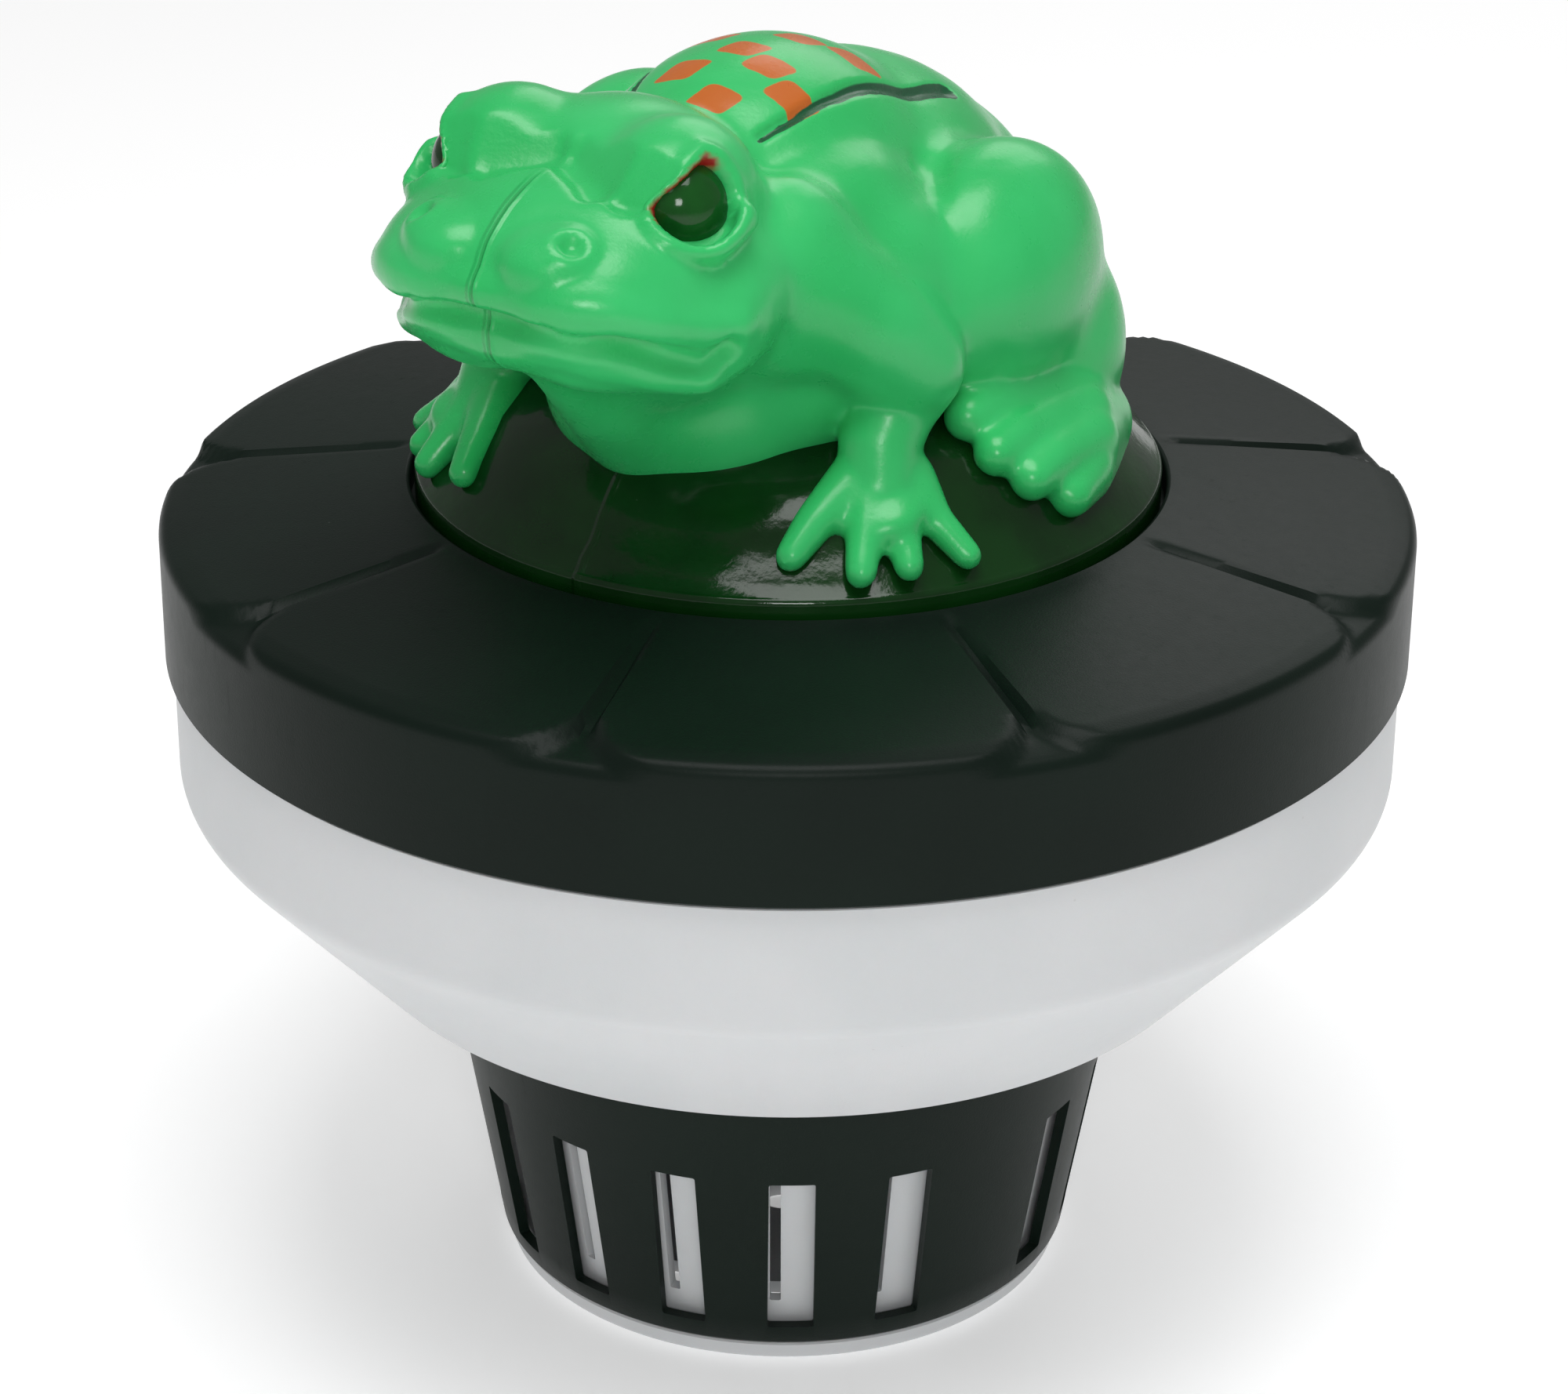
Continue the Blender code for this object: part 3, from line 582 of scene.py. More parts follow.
def turn_shell(name: str, profile: Sequence[Ring], segments: int = 216) -> bpy.types.Object:
    """Model a closed turned shell: a circle extruded and scaled ring by ring, then bridged.

    Args:
        name: the piece's name.
        profile: its outline as (radius, height), all round the wall.
        segments: how many sides each ring has.

    Returns:
        The piece.
    """
    deselect()
    radius, height = profile[0]
    bpy.ops.mesh.primitive_circle_add(vertices=segments, radius=radius, location=(0, 0, height))
    piece = named(name)
    bpy.ops.object.mode_set(mode="EDIT")
    bpy.ops.mesh.select_all(action="SELECT")
    for next_radius, next_height in profile[1:]:
        bpy.ops.mesh.extrude_region_move(
            TRANSFORM_OT_translate={"value": (0, 0, next_height - height), "orient_type": "GLOBAL"}
        )
        grow = next_radius / radius
        if abs(grow - 1.0) > SAME_SIZE:
            bpy.ops.transform.resize(value=(grow, grow, 1.0), center_override=(0, 0, next_height))
        radius, height = next_radius, next_height
    bpy.ops.object.mode_set(mode="OBJECT")
    last = len(piece.data.vertices) - segments
    for edge in piece.data.edges:
        first_end, second_end = edge.vertices
        in_first = first_end < segments and second_end < segments
        edge.select = in_first or (first_end >= last and second_end >= last)
    for vertex in piece.data.vertices:
        vertex.select = vertex.index < segments or vertex.index >= last
    bpy.ops.object.mode_set(mode="EDIT")
    bpy.ops.mesh.select_mode(type="EDGE")
    bpy.ops.mesh.bridge_edge_loops()
    finish_mesh(piece)
    return piece


def finish_mesh(piece: bpy.types.Object, sharp_angle: float = 40.0) -> None:
    """Turn a piece's faces outwards and shade it smooth but for its sharp edges.

    Args:
        piece: the piece.
        sharp_angle: edges that turn by more than this many degrees stay sharp.
    """
    make_active(piece)
    bpy.ops.object.mode_set(mode="EDIT")
    bpy.ops.mesh.select_all(action="SELECT")
    bpy.ops.mesh.normals_make_consistent(inside=False)
    bpy.ops.object.mode_set(mode="OBJECT")
    bpy.ops.object.shade_smooth_by_angle(angle=math.radians(sharp_angle))


def cut(piece: bpy.types.Object, cutter: bpy.types.Object) -> None:
    """Cut a piece with a cutter and remove the cutter."""
    apply(piece, "BOOLEAN", object=cutter, operation="DIFFERENCE", solver="EXACT")
    bpy.data.objects.remove(cutter, do_unlink=True)


def joined(pieces: Sequence[bpy.types.Object], name: str) -> bpy.types.Object:
    """Join pieces into one and name it."""
    make_active(*pieces)
    bpy.ops.object.join()
    return named(name)


def dress(piece: bpy.types.Object, material: bpy.types.Material, body: Body) -> None:
    """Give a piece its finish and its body.

    Args:
        piece: the piece.
        material: its finish.
        body: the body that it rides on.
    """
    piece.data.materials.clear()
    piece.data.materials.append(material)
    for face in piece.data.polygons:
        face.material_index = 0
    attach(piece, body.value)
    LOG.info("%s: %d faces on %s", piece.name, len(piece.data.polygons), body.value)


def at_azimuth(radius: float, azimuth: float, height: float) -> Vector:
    """Return the point at an azimuth in radians, counted from the front towards +X."""
    return Vector((radius * math.sin(azimuth), -radius * math.cos(azimuth), height))


def standing_boxes(name: str, size: Point, radius: float, height: float,
                   azimuths: Iterable[float], rounding: float) -> bpy.types.Object:
    """Stand rounded boxes round the axis, as one cutter.

    Args:
        name: the cutter's name.
        size: each box's width, depth and height.
        radius: the distance of their middles from the axis.
        height: the height of their middles.
        azimuths: where they stand.
        rounding: the radius of their upright edges.

    Returns:
        The joined boxes.
    """
    boxes = []
    for azimuth in azimuths:
        bpy.ops.mesh.primitive_cube_add(
            size=1.0, location=at_azimuth(radius, azimuth, height), rotation=(0, 0, azimuth), scale=size
        )
        box = bpy.context.object
        bpy.ops.object.transform_apply(location=False, rotation=False, scale=True)
        apply(box, "BEVEL", width=rounding, segments=3, limit_method="NONE", affect="EDGES")
        boxes.append(box)
    return joined(boxes, name)


# ---------------------------------------------------------------------------------------------
# Sub-assemblies
# ---------------------------------------------------------------------------------------------
@dataclass
class Layout:
    """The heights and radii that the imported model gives."""

    hull: Box = field(init=False)
    lid: Box = field(init=False)
    collar: Box = field(init=False)
    basket: Box = field(init=False)
    bottom: Box = field(init=False)
    cap: Box = field(init=False)
    neck_inset: float = 0.0031
    rim_rise: float = 0.0012

    def __post_init__(self) -> None:
        """Read the nodes' boxes."""
        self.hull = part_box("float_hull")
        self.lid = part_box("lid_ring")
        self.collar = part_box("flow_collar")
        self.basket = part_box("tablet_basket")
        self.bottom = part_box("bottom_cap")
        self.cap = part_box("frog_cap")

    @property
    def radius(self) -> float:
        """Return the float's outer radius."""
        return self.lid[1].x

    @property
    def floor(self) -> float:
        """Return the height of the hull's floor."""
        return self.hull[0].z

    @property
    def skirt(self) -> float:
        """Return the height of the skirt's lower edge."""
        return self.lid[0].z

    @property
    def well_radius(self) -> float:
        """Return the hull's well radius, which clears the basket's neck."""
        return self.basket_neck + SEAT_GAP

    @property
    def basket_neck(self) -> float:
        """Return the basket's neck radius, just inside the collar's top."""
        return self.collar[1].x - self.neck_inset

    @property
    def hole_radius(self) -> float:
        """Return the radius of the lid's hole, two seat gaps outside the basket's flange."""
        return self.basket[1].x + 2 * SEAT_GAP

    @property
    def rim(self) -> float:
        """Return the height of the dome's rim, from which the frog's sizes count."""
        return self.hole + self.rim_rise

    @property
    def hole(self) -> float:
        """Return the height of the lid's top at its hole."""
        return self.lid[1].z


@dataclass
class FloatHull:
    """The white lower shell of the float: band, cone, floor, collar socket and well."""

    layout: Layout
    floor_radius: float = 0.0730
    cone: float = 0.0300
    step_in: float = 0.0013
    wall: float = 0.0025
    socket_gap: float = 0.0009
    socket_depth: float = 0.0041
    rim_height: float = 0.1260
    rim_inset: float = 0.0027
    crease_turn: float = 0.0065
    foot_turn: float = 0.0012
    edge: float = 0.0006
    flange_drop: float = 0.0028
    band_height: float = 0.0080

    def build(self, material: bpy.types.Material) -> None:
        """Model and dress the hull.

        Args:
            material: its finish.
        """
        floor, skirt = self.layout.floor, self.layout.skirt
        band = self.layout.radius - self.step_in
        socket = self.layout.collar[1].x + self.socket_gap
        socket_top = floor + self.socket_depth
        well = self.layout.well_radius
        flange = self.layout.hole_radius - SEAT_GAP
        flange_top = self.layout.basket[1].z - self.flange_drop
        crease = floor + self.cone
        slope = math.degrees(math.atan2(self.cone, band - self.floor_radius))
        steep = 90.0 - slope
        rise = self.crease_turn * math.tan(math.radians(steep) / 2)
        crease_middle = (band - self.crease_turn, crease + rise)
        foot_middle = (self.floor_radius - 0.0004, floor + self.foot_turn)
        rim = self.layout.radius - self.rim_inset
        inside = self.wall / math.sin(math.radians(slope))
        profile = [
            (rim - self.wall, self.rim_height - self.edge),
            (rim - self.wall + self.edge, self.rim_height),
            (rim - self.edge, self.rim_height),
            (rim, self.rim_height - self.edge),
            (rim, skirt - SEAT_GAP),
            (band - 0.0004, skirt - SEAT_GAP),
            (band, skirt - 0.0007),
            (band, skirt - self.band_height),
            *rounded(crease_middle, self.crease_turn, 0, -steep, 9),
            *rounded(foot_middle, self.foot_turn, -steep, -90, 5),
            (socket + self.edge, floor),
            (socket, floor + self.edge),
            (socket, socket_top),
            (well, socket_top),
            (well, flange_top),
            (flange, flange_top),
            (flange, flange_top - self.wall),
            (well + self.wall, flange_top - self.wall),
            (well + self.wall, socket_top + self.wall),
            (socket + self.wall, socket_top + self.wall),
            (socket + self.wall, floor + self.wall),
            (self.floor_radius - self.foot_turn, floor + self.wall),
            (band - self.wall, crease + inside - self.wall),
            (band - self.wall, skirt - self.band_height / 2),
        ]
        piece = turn_shell("hull_shell", profile)
        dress(piece, material, Body.FLOAT)
        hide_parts("float_hull")


@dataclass
class LidRing:
    """The dark cover: skirt, nine raised petal panels, hole, throat and gapped ledge."""

    layout: Layout
    panels: int = 9
    first_seam: float = math.radians(14)
    wall: float = 0.0024
    rise: float = 0.0052
    seam_depth: float = 0.0019
    petal_corner: float = 0.0120
    seam_half: float = 0.0011
    throat_bottom: float = 0.1196
    ledge_radius: float = 0.0585
    ledge_depth: float = 0.0050
    ledge_thickness: float = 0.0024
    lug_azimuth: float = math.radians(110)
    entry_spread: float = math.radians(30)
    relief: float = 0.0005
    relief_depth: float = 0.0020
    top_edge: float = 0.0022
    hole_edge: float = 0.0008
    seam_slope: Ring = (0.0011, 0.0025)
    seam_fade: float = 0.0085
    cutter_reach: float = 0.0060
    segments: int = 504

    @property
    def hole_radius(self) -> float:
        """Return the radius of the hole."""
        return self.layout.hole_radius

    def top(self, radius: float | np.ndarray) -> float | np.ndarray:
        """Return the height of the panels at a radius, or at each of many."""
        share = (radius - self.hole_radius) / (self.layout.radius - self.hole_radius)
        return self.layout.hole - self.rise * share

    def profile(self) -> list[Ring]:
        """Return the outline of the ring's wall."""
        outer = self.layout.radius
        low = self.layout.skirt
        edge = self.top_edge
        shoulder = self.top(outer)
        inside = outer - self.wall
        throat = self.hole_radius + self.wall
        ledge = self.layout.hole - self.ledge_depth
        panel = [(r, self.top(r)) for r in np.linspace(self.hole_radius + 0.0012, outer - edge - 0.0012, 27)]
        hole_middle = (self.hole_radius + self.hole_edge, self.layout.hole - self.hole_edge)
        return [
            *rounded(hole_middle, self.hole_edge, 180, 100, 4),
            *panel,
            *rounded((outer - edge, shoulder - edge), edge, 84, 0, 7),
            *[(outer, shoulder - edge - drop) for drop in (0.0008, 0.0018, 0.0032, 0.0060)],
            (outer, low + 0.0005),
            (outer - 0.0005, low),
            (inside, low),
            (inside, shoulder - 2.2 * self.wall),
            (inside - 0.0025, shoulder - 1.5 * self.wall),
            (throat, self.top(throat) - 1.4 * self.wall),
            (throat, self.throat_bottom),
            (self.hole_radius, self.throat_bottom),
            (self.hole_radius, ledge - self.ledge_thickness),
            (self.ledge_radius, ledge - self.ledge_thickness),
            (self.ledge_radius, ledge),
            (self.hole_radius, ledge),
        ]

    def seam_weights(self, places: np.ndarray) -> np.ndarray:
        """Return how deep each point sinks into a seam, from 0 to 1.

        Args:
            places: the vertices' positions.

        Returns:
            The share of the full depth.
        """
        radius = np.hypot(places[:, 0], places[:, 1])
        azimuth = np.arctan2(places[:, 0], -places[:, 1])
        pitch = 2 * math.pi / self.panels
        off = (azimuth - self.first_seam + pitch / 2) % pitch - pitch / 2
        across = np.abs(off) * radius
        start = self.layout.radius - self.petal_corner
        run = np.clip(radius - start, 0.0, self.petal_corner * 0.999)
        half = self.seam_half + self.petal_corner - np.sqrt(self.petal_corner**2 - run**2)
        gentle, steep = self.seam_slope
        slope = gentle + (steep - gentle) * step(radius, start, self.layout.radius)
        sunk = step(half - across, -slope * 0.5, slope)
        along = 0.45 + 0.55 * step(radius, self.hole_radius + 0.004, start)
        along *= step(radius, self.hole_radius + 0.0015, self.hole_radius + 0.0045)
        shoulder = self.top(self.layout.radius)
        above = step(places[:, 2], shoulder - self.seam_fade, shoulder - 0.0012)
        on_top = places[:, 2] > shoulder - self.seam_fade
        inner_wall = radius < self.hole_radius + 0.0010
        under = self.top(radius) - places[:, 2] > 0.0019
        outside = radius > self.layout.radius - 0.0023
        keep = on_top & ~inner_wall & (~under | outside)
        return sunk * along * above * keep

    def build(self, material: bpy.types.Material) -> None:
        """Model and dress the ring.

        Args:
            material: its finish.
        """
        piece = turn_shell("lid_cover", self.profile(), self.segments)
        push(piece, self.seam_weights(points_of(piece)), -self.seam_depth, "Z")
        hole, inner = self.layout.hole, self.hole_radius - self.cutter_reach
        ledge = hole - self.ledge_depth
        entry = (inner, self.hole_radius), (ledge - self.ledge_thickness - SEAT_GAP, ledge + SEAT_GAP)
        notch = (inner, self.hole_radius + self.relief), (hole - self.relief_depth, hole + self.cutter_reach)
        for azimuth in (self.lug_azimuth, self.lug_azimuth + math.pi):
            for across, upright in (entry, notch):
                cut(piece, self.arc_block(across, upright, azimuth))
        finish_mesh(piece, 35.0)
        dress(piece, material, Body.FLOAT)
        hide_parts("lid_ring")

    def arc_block(self, across: Ring, upright: Ring, middle: float) -> bpy.types.Object:
        """Return a cutter that follows the hole: a plane spun through the entry's angle.

        Args:
            across: its inner and outer radius.
            upright: its lower and upper height.
            middle: the azimuth of its middle.

        Returns:
            The cutter.
        """
        deselect()
        start = middle - self.entry_spread / 2
        bpy.ops.mesh.primitive_plane_add(
            size=1.0,
            location=at_azimuth(sum(across) / 2, start, sum(upright) / 2),
            rotation=(math.pi / 2, 0, start - math.pi / 2),
        )
        bpy.context.object.scale = (across[1] - across[0], upright[1] - upright[0], 1.0)
        cutter = named("arc_block")
        bpy.ops.object.mode_set(mode="EDIT")
        bpy.ops.mesh.select_all(action="SELECT")
        bpy.ops.mesh.spin(steps=16, angle=self.entry_spread, center=(0, 0, 0), axis=(0, 0, 1))
        bpy.ops.mesh.select_all(action="SELECT")
        bpy.ops.mesh.remove_doubles(threshold=0.00001)
        bpy.ops.mesh.normals_make_consistent(inside=False)
        bpy.ops.object.mode_set(mode="OBJECT")
        return cutter


@dataclass
class LowerEnd:
    """The parts in the water: slotted basket, windowed collar and bottom cap."""

    layout: Layout
    taper: float = 0.1667
    collar_wall: float = 0.0019
    turn_gap: float = 0.0013
    basket_wall: float = 0.0022
    window: Point = (0.0076, 0.024, 0.0303)
    window_rise: float = 0.0038
    slit: Point = (0.0018, 0.024, 0.0300)
    slit_rise: float = 0.0074
    slit_lag: float = math.radians(3.0)
    per_half: int = 8
    pitch: float = math.radians(20.76)
    first_window: float = math.radians(89.0)
    lip: float = 0.0005
    flange_height: float = 0.0025
    floor: float = 0.0022
    drain_rings: tuple[tuple[float, int], ...] = ((0.34, 6), (0.70, 12))
    drain_width: float = 0.0056
    middle_radius: float = 0.0040
    spigot_wall: float = 0.0020
    rim_turn: float = 0.0012

    @property
    def foot(self) -> float:
        """Return the height of the collar's lower edge."""
        return self.layout.collar[0].z

    @property
    def foot_radius(self) -> float:
        """Return the collar's outer radius at its lower edge."""
        high = self.layout.collar[1]
        return high.x - self.taper * (high.z - self.foot)

    def radius(self, height: float) -> float:
        """Return the collar's outer radius at a height."""
        return self.foot_radius + self.taper * (height - self.foot)

    def windows(self, shift: float = 0.0) -> list[float]:
        """Return the azimuths of the windows, two groups with a blank between them."""
        return [
            self.first_window + half * math.pi + i * self.pitch + shift
            for half in range(2)
            for i in range(self.per_half)
        ]

    def build_collar(self, material: bpy.types.Material) -> None:
        """Model and dress the collar.

        Args:
            material: its finish.
        """
        low, top, lip = self.foot, self.layout.collar[1].z, self.lip
        profile = [
            (self.radius(top) - self.collar_wall, top),
            (self.radius(top) - lip, top),
            (self.radius(top - lip), top - lip),
            *[(self.radius(height), height) for height in np.linspace(top, low, 13)[1:-1]],
            (self.radius(low + lip), low + lip),
            (self.radius(low) - 0.0002, low + 0.00015),
            (self.radius(low) - lip, low),
            (self.radius(low) - self.collar_wall, low),
        ]
        piece = turn_shell("collar_sleeve", profile)
        middle = self.foot - SEAT_GAP + self.window_rise + self.window[2] / 2
        around = self.windows()
        cut(piece, standing_boxes("windows", self.window, self.radius(middle), middle, around, 0.0004))
        finish_mesh(piece, 30.0)
        dress(piece, material, Body.COLLAR)
        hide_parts("flow_collar")

    def build_basket(self, material: bpy.types.Material) -> None:
        """Model and dress the basket.

        Args:
            material: its finish.
        """
        low, high = self.layout.basket[0].z, self.layout.basket[1]
        inset = self.collar_wall + self.turn_gap
        shoulder = self.layout.collar[1].z + 2 * SEAT_GAP
        neck = self.radius(shoulder) - inset
        foot = self.radius(low) - inset
        wall = self.basket_wall
        profile = [
            (neck - wall, high.z),
            (high.x - self.lip, high.z),
            (high.x, high.z - self.lip),
            (high.x, high.z - self.flange_height),
            (neck, high.z - self.flange_height),
            (neck, shoulder),
            *[(foot + (neck - foot) * k / 8, low + (shoulder - low) * k / 8) for k in range(7, 0, -1)],
            (foot, low),
            (foot - wall, low),
            (neck - wall, shoulder),
        ]
        piece = turn_shell("basket_sleeve", profile)
        middle = low + self.slit_rise + self.slit[2] / 2
        slits = self.windows(-self.slit_lag)
        cut(piece, standing_boxes("slits", self.slit, self.radius(middle) - inset, middle, slits, 0.0003))
        finish_mesh(piece, 30.0)
        dress(piece, material, Body.FLOAT)
        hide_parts("tablet_basket")

    def build_bottom(self, material: bpy.types.Material) -> None:
        """Model and dress the bottom cap.

        Args:
            material: its finish.
        """
        top, flange = self.layout.bottom[1].z, self.layout.bottom[1].x
        inset = self.collar_wall + self.turn_gap + self.basket_wall + SEAT_GAP
        spigot = self.radius(self.foot) - inset
        ledge = self.foot - 2 * SEAT_GAP
        chamfer = SEAT_GAP
        profile = [
            (self.middle_radius, self.floor),
            (spigot - self.spigot_wall, self.floor),
            (spigot - self.spigot_wall, top),
            (spigot, top),
            (spigot, ledge),
            (flange - chamfer, ledge),
            (flange, ledge - chamfer),
            *rounded((flange - chamfer - self.rim_turn, self.rim_turn), self.rim_turn, 0, -90, 6),
            (self.middle_radius, 0.0),
        ]
        piece = turn_shell("bottom_disc", profile)
        for share, count in self.drain_rings:
            radius = share * spigot
            places = [i * 2 * math.pi / count for i in range(count)]
            size = (1.25 * math.pi * radius / count, self.drain_width, 0.02)
            cut(piece, standing_boxes("drains", size, radius, 0.0, places, self.rim_turn))
        finish_mesh(piece, 30.0)
        dress(piece, material, Body.FLOAT)
        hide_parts("bottom_cap")


@dataclass
class FrogSkin:
    """The frog, sculpted from muscles. Its sizes are millimetres from the dome rim's centre."""

    layout: Layout
    coarse_voxel: float = 0.0016
    fine_voxel: float = 0.00078
    eye_middle: Point = (21.4, -61.0, 64.7)
    eye_facing: Point = (0.75, -0.53, 0.39)
    eye_across: Point = (0.59, 0.807, -0.033)
    eye_radius: float = 6.2
    lid_slant: Ring = (-0.59, 0.81)
    lid_reach: float = 3.1
    ball_radius: float = 7.4
    ball_depth: float = 5.2
    back_floor: float = 50.0
    facet_depth: float = 2.0

    def ball(self, centre: Point, size: Point, tilt: Point = (0, 0, 0)) -> bpy.types.Object:
        """Add one muscle: a ball stretched and tilted.

        Args:
            centre: its middle.
            size: its half sizes.
            tilt: its turn about X, Y and Z in degrees.

        Returns:
            The ball.
        """
        x, y, z = (value * MM for value in centre)
        bpy.ops.mesh.primitive_uv_sphere_add(
            segments=28, ring_count=16, radius=1.0, location=(x, y, z + self.layout.rim),
            rotation=tuple(math.radians(a) for a in tilt), scale=tuple(value * MM for value in size),
        )
        return bpy.context.object

    def limb(self, *joints: tuple[float, float, float, float]) -> list[bpy.types.Object]:
        """Add a tapering limb as closely set balls.

        Args:
            joints: points with a radius.

        Returns:
            The balls.
        """
        balls = []
        for start, end in zip(joints, joints[1:]):
            span = math.dist(start[:3], end[:3])
            count = max(1, math.ceil(span / (0.30 * min(start[3], end[3]))))
            for i in range(count + 1):
                mix = [a + (b - a) * i / count for a, b in zip(start, end)]
                balls.append(self.ball(tuple(mix[:3]), (mix[3],) * 3))
        return balls

    def mirrored(self, muscles: Sequence[bpy.types.Object], name: str) -> bpy.types.Object:
        """Join the left half's muscles and mirror them to the right."""
        half = joined(muscles, name)
        apply(half, "MIRROR", use_mirror_merge=False)
        return half

    def fuse(self, pieces: Sequence[bpy.types.Object], voxel: float, passes: int) -> bpy.types.Object:
        """Fuse pieces into one skin and soften its creases.

        Args:
            pieces: the closed pieces.
            voxel: the remesh's voxel size in metres.
            passes: how many times it is smoothed.

        Returns:
            The skin.
        """
        skin = joined(pieces, "frog_skin")
        apply(skin, "REMESH", mode="VOXEL", voxel_size=voxel)
        apply(skin, "SMOOTH", factor=0.5, iterations=passes)
        return skin

    def masses(self) -> bpy.types.Object:
        """Return the large forms: trunk, chest, skull, muzzle, lips, brows, thighs and hips."""
        middle = [
            self.ball((0, 3, 32.5), (32.5, 48, 34.0)),
            self.ball((0, -8, 46.6), (26, 34, 25.8), (-8, 0, 0)),
            self.ball((0, 28, 29), (28, 28, 27.5)),
            self.ball((0, -25, 23), (25.5, 25, 20)),
            self.ball((0, -42, 44), (24, 22, 20)),
            self.ball((0, -48, 58.5), (21, 20, 14.5)),
            self.ball((0, -60, 54.5), (26, 24, 13.5)),
            *self.limb((0, -61, 37.5, 7), (0, -50, 28, 9), (0, -42, 21, 10)),
        ]
        side = [
            self.ball((10, -64.5, 52.5), (16.5, 20.5, 11.5)),
            self.ball((9, -61, 43), (16, 18, 8)),
            self.ball((14.4, -54.4, 61.8), (12.0, 14.4, 12.7)),
            self.ball((22.5, -53, 48), (8.5, 13, 11)),
            self.ball((22.5, -57, 47), (9.5, 10, 10.5)),
            self.ball((22, -37, 46), (12, 14, 16)),
            self.ball((26.5, -17, 38), (13, 20, 17)),
            self.ball((15.5, -17, 34), (18.5, 26, 25)),
            self.ball((18.5, -19, 43), (15, 23, 19)),
            self.ball((33, 5, 37), (16.5, 24, 20.5), (12, 0, 0)),
            self.ball((35, 17.5, 22), (15, 14.5, 20)),
            self.ball((22, 26, 27), (14, 17, 19)),
            *self.limb((25, -36, 45, 11.5), (32, -29, 38, 10.5), (36, -24, 31.5, 9.2)),
            *self.limb(
                (0, -80, 53.8, 5.0), (13, -78.4, 54.2, 5.2), (21.5, -72, 51.2, 5.0), (25.5, -64.5, 47.6, 4.2)
            ),
            *self.limb(
                (0, -76.2, 44.2, 4.8), (12, -74.2, 44.4, 4.9), (20, -68.4, 42.0, 4.6), (25, -62.5, 39.8, 3.8)
            ),
        ]
        return self.fuse([*middle, self.mirrored(side, "masses_side")], self.coarse_voxel, 11)

    def features(self) -> bpy.types.Object:
        """Return the small forms of one side, mirrored: nose, lower lid, forearm and feet."""
        side = [
            self.ball((8.0, -73, 58.0), (9.6, 12.0, 5.8)),
            *self.limb(
                (16, -69, 61.6, 2.2), (21, -67.2, 59.6, 2.6),
                (25.6, -61.6, 59.2, 2.8), (26.8, -56, 61.5, 2.6),
            ),
            *self.limb(
                (36.5, -22.5, 30, 7.4), (35.0, -26, 25, 6.6),
                (34.6, -29.5, 20, 6.4), (36, -31.5, 14.5, 5.8),
            ),
            self.ball((37.5, -34.0, 11.2), (7.6, 7.4, 3.8), (18, 0, 0)),
            *self.limb((33, -33, 15, 4.6), (31, -42, 10.6, 3.2), (30.2, -47.5, 6.8, 2.5)),
            *self.limb((35.5, -33, 14, 4.6), (38, -39, 9.2, 3.1), (40, -43.4, 4.9, 2.5)),
            *self.limb((37.5, -31, 13.5, 4.6), (42, -35, 8.8, 3.0), (45.2, -38.0, 5.2, 2.4)),
            *self.limb((38.5, -28, 14.5, 4.6), (44.5, -29.5, 9.8, 2.8), (50.6, -29.8, 5.3, 2.3)),
            self.ball((46, 4, 11.0), (9.5, 16, 6.5), (-6, 24, 0)),
            *self.limb((41, 21, 9, 8), (43, 12, 15, 8), (40.8, -6, 20.0, 5.4), (40.6, -13.2, 20.2, 3.9)),
            *self.limb((43, 20, 9, 8), (46, 9, 13.5, 7.6), (46, -8, 16.2, 5.0), (46.4, -14.4, 15.8, 3.7)),
            *self.limb((43, 19, 8, 8), (49, 6, 11.5, 7.2), (50.8, -6, 12.6, 4.8), (51.4, -12.0, 12.0, 3.6)),
            *self.limb((44, 18, 7, 7.5), (52.0, 2, 8.6, 5.6), (55.2, -6.3, 8.0, 3.5)),
        ]
        return self.mirrored(side, "features_side")

    def folded(self, skin: bpy.types.Object) -> np.ndarray:
        """Return the skin's points with the right half folded onto the left."""
        places = points_of(skin) / MM
        places[:, 2] -= self.layout.rim / MM
        places[:, 0] = np.abs(places[:, 0])
        return places

    @staticmethod
    def reach(places: np.ndarray, path: Sequence[Point]) -> tuple[np.ndarray, np.ndarray]:
        """Measure how far points are from a path.

        Args:
            places: the points.
            path: the path's corners.

        Returns:
            Each point's distance, and its share of the way along the path.
        """
        best = np.full(len(places), np.inf)
        share = np.zeros(len(places))
        for i, (start, end) in enumerate(zip(path, path[1:])):
            first, line = np.array(start), np.subtract(end, start)
            along = np.clip((places - first) @ line / (line @ line), 0.0, 1.0)
            away = np.linalg.norm(places - first - along[:, None] * line, axis=1)
            nearer = away < best
            best[nearer] = away[nearer]
            share[nearer] = (i + along[nearer]) / (len(path) - 1)
        return best, share

    def almond(self, places: np.ndarray) -> tuple[np.ndarray, np.ndarray, np.ndarray]:
        """Measure points against the eye's opening, a disc cut by the slanting upper lid.

        Args:
            places: the folded points.

        Returns:
            The distance outside the opening, the height over the lid's slant, and the distance
            from the eye's middle.
        """
        facing = np.array(self.eye_facing)
        across = np.array(self.eye_across)
        upright = np.cross(facing, across)
        local = places - np.array(self.eye_middle)
        a, b = local @ across, local @ upright
        slant = a * self.lid_slant[0] + b * self.lid_slant[1]
        outside = np.maximum(np.hypot(a, b) - self.eye_radius, slant - self.lid_reach)
        return outside, slant, np.linalg.norm(local, axis=1)

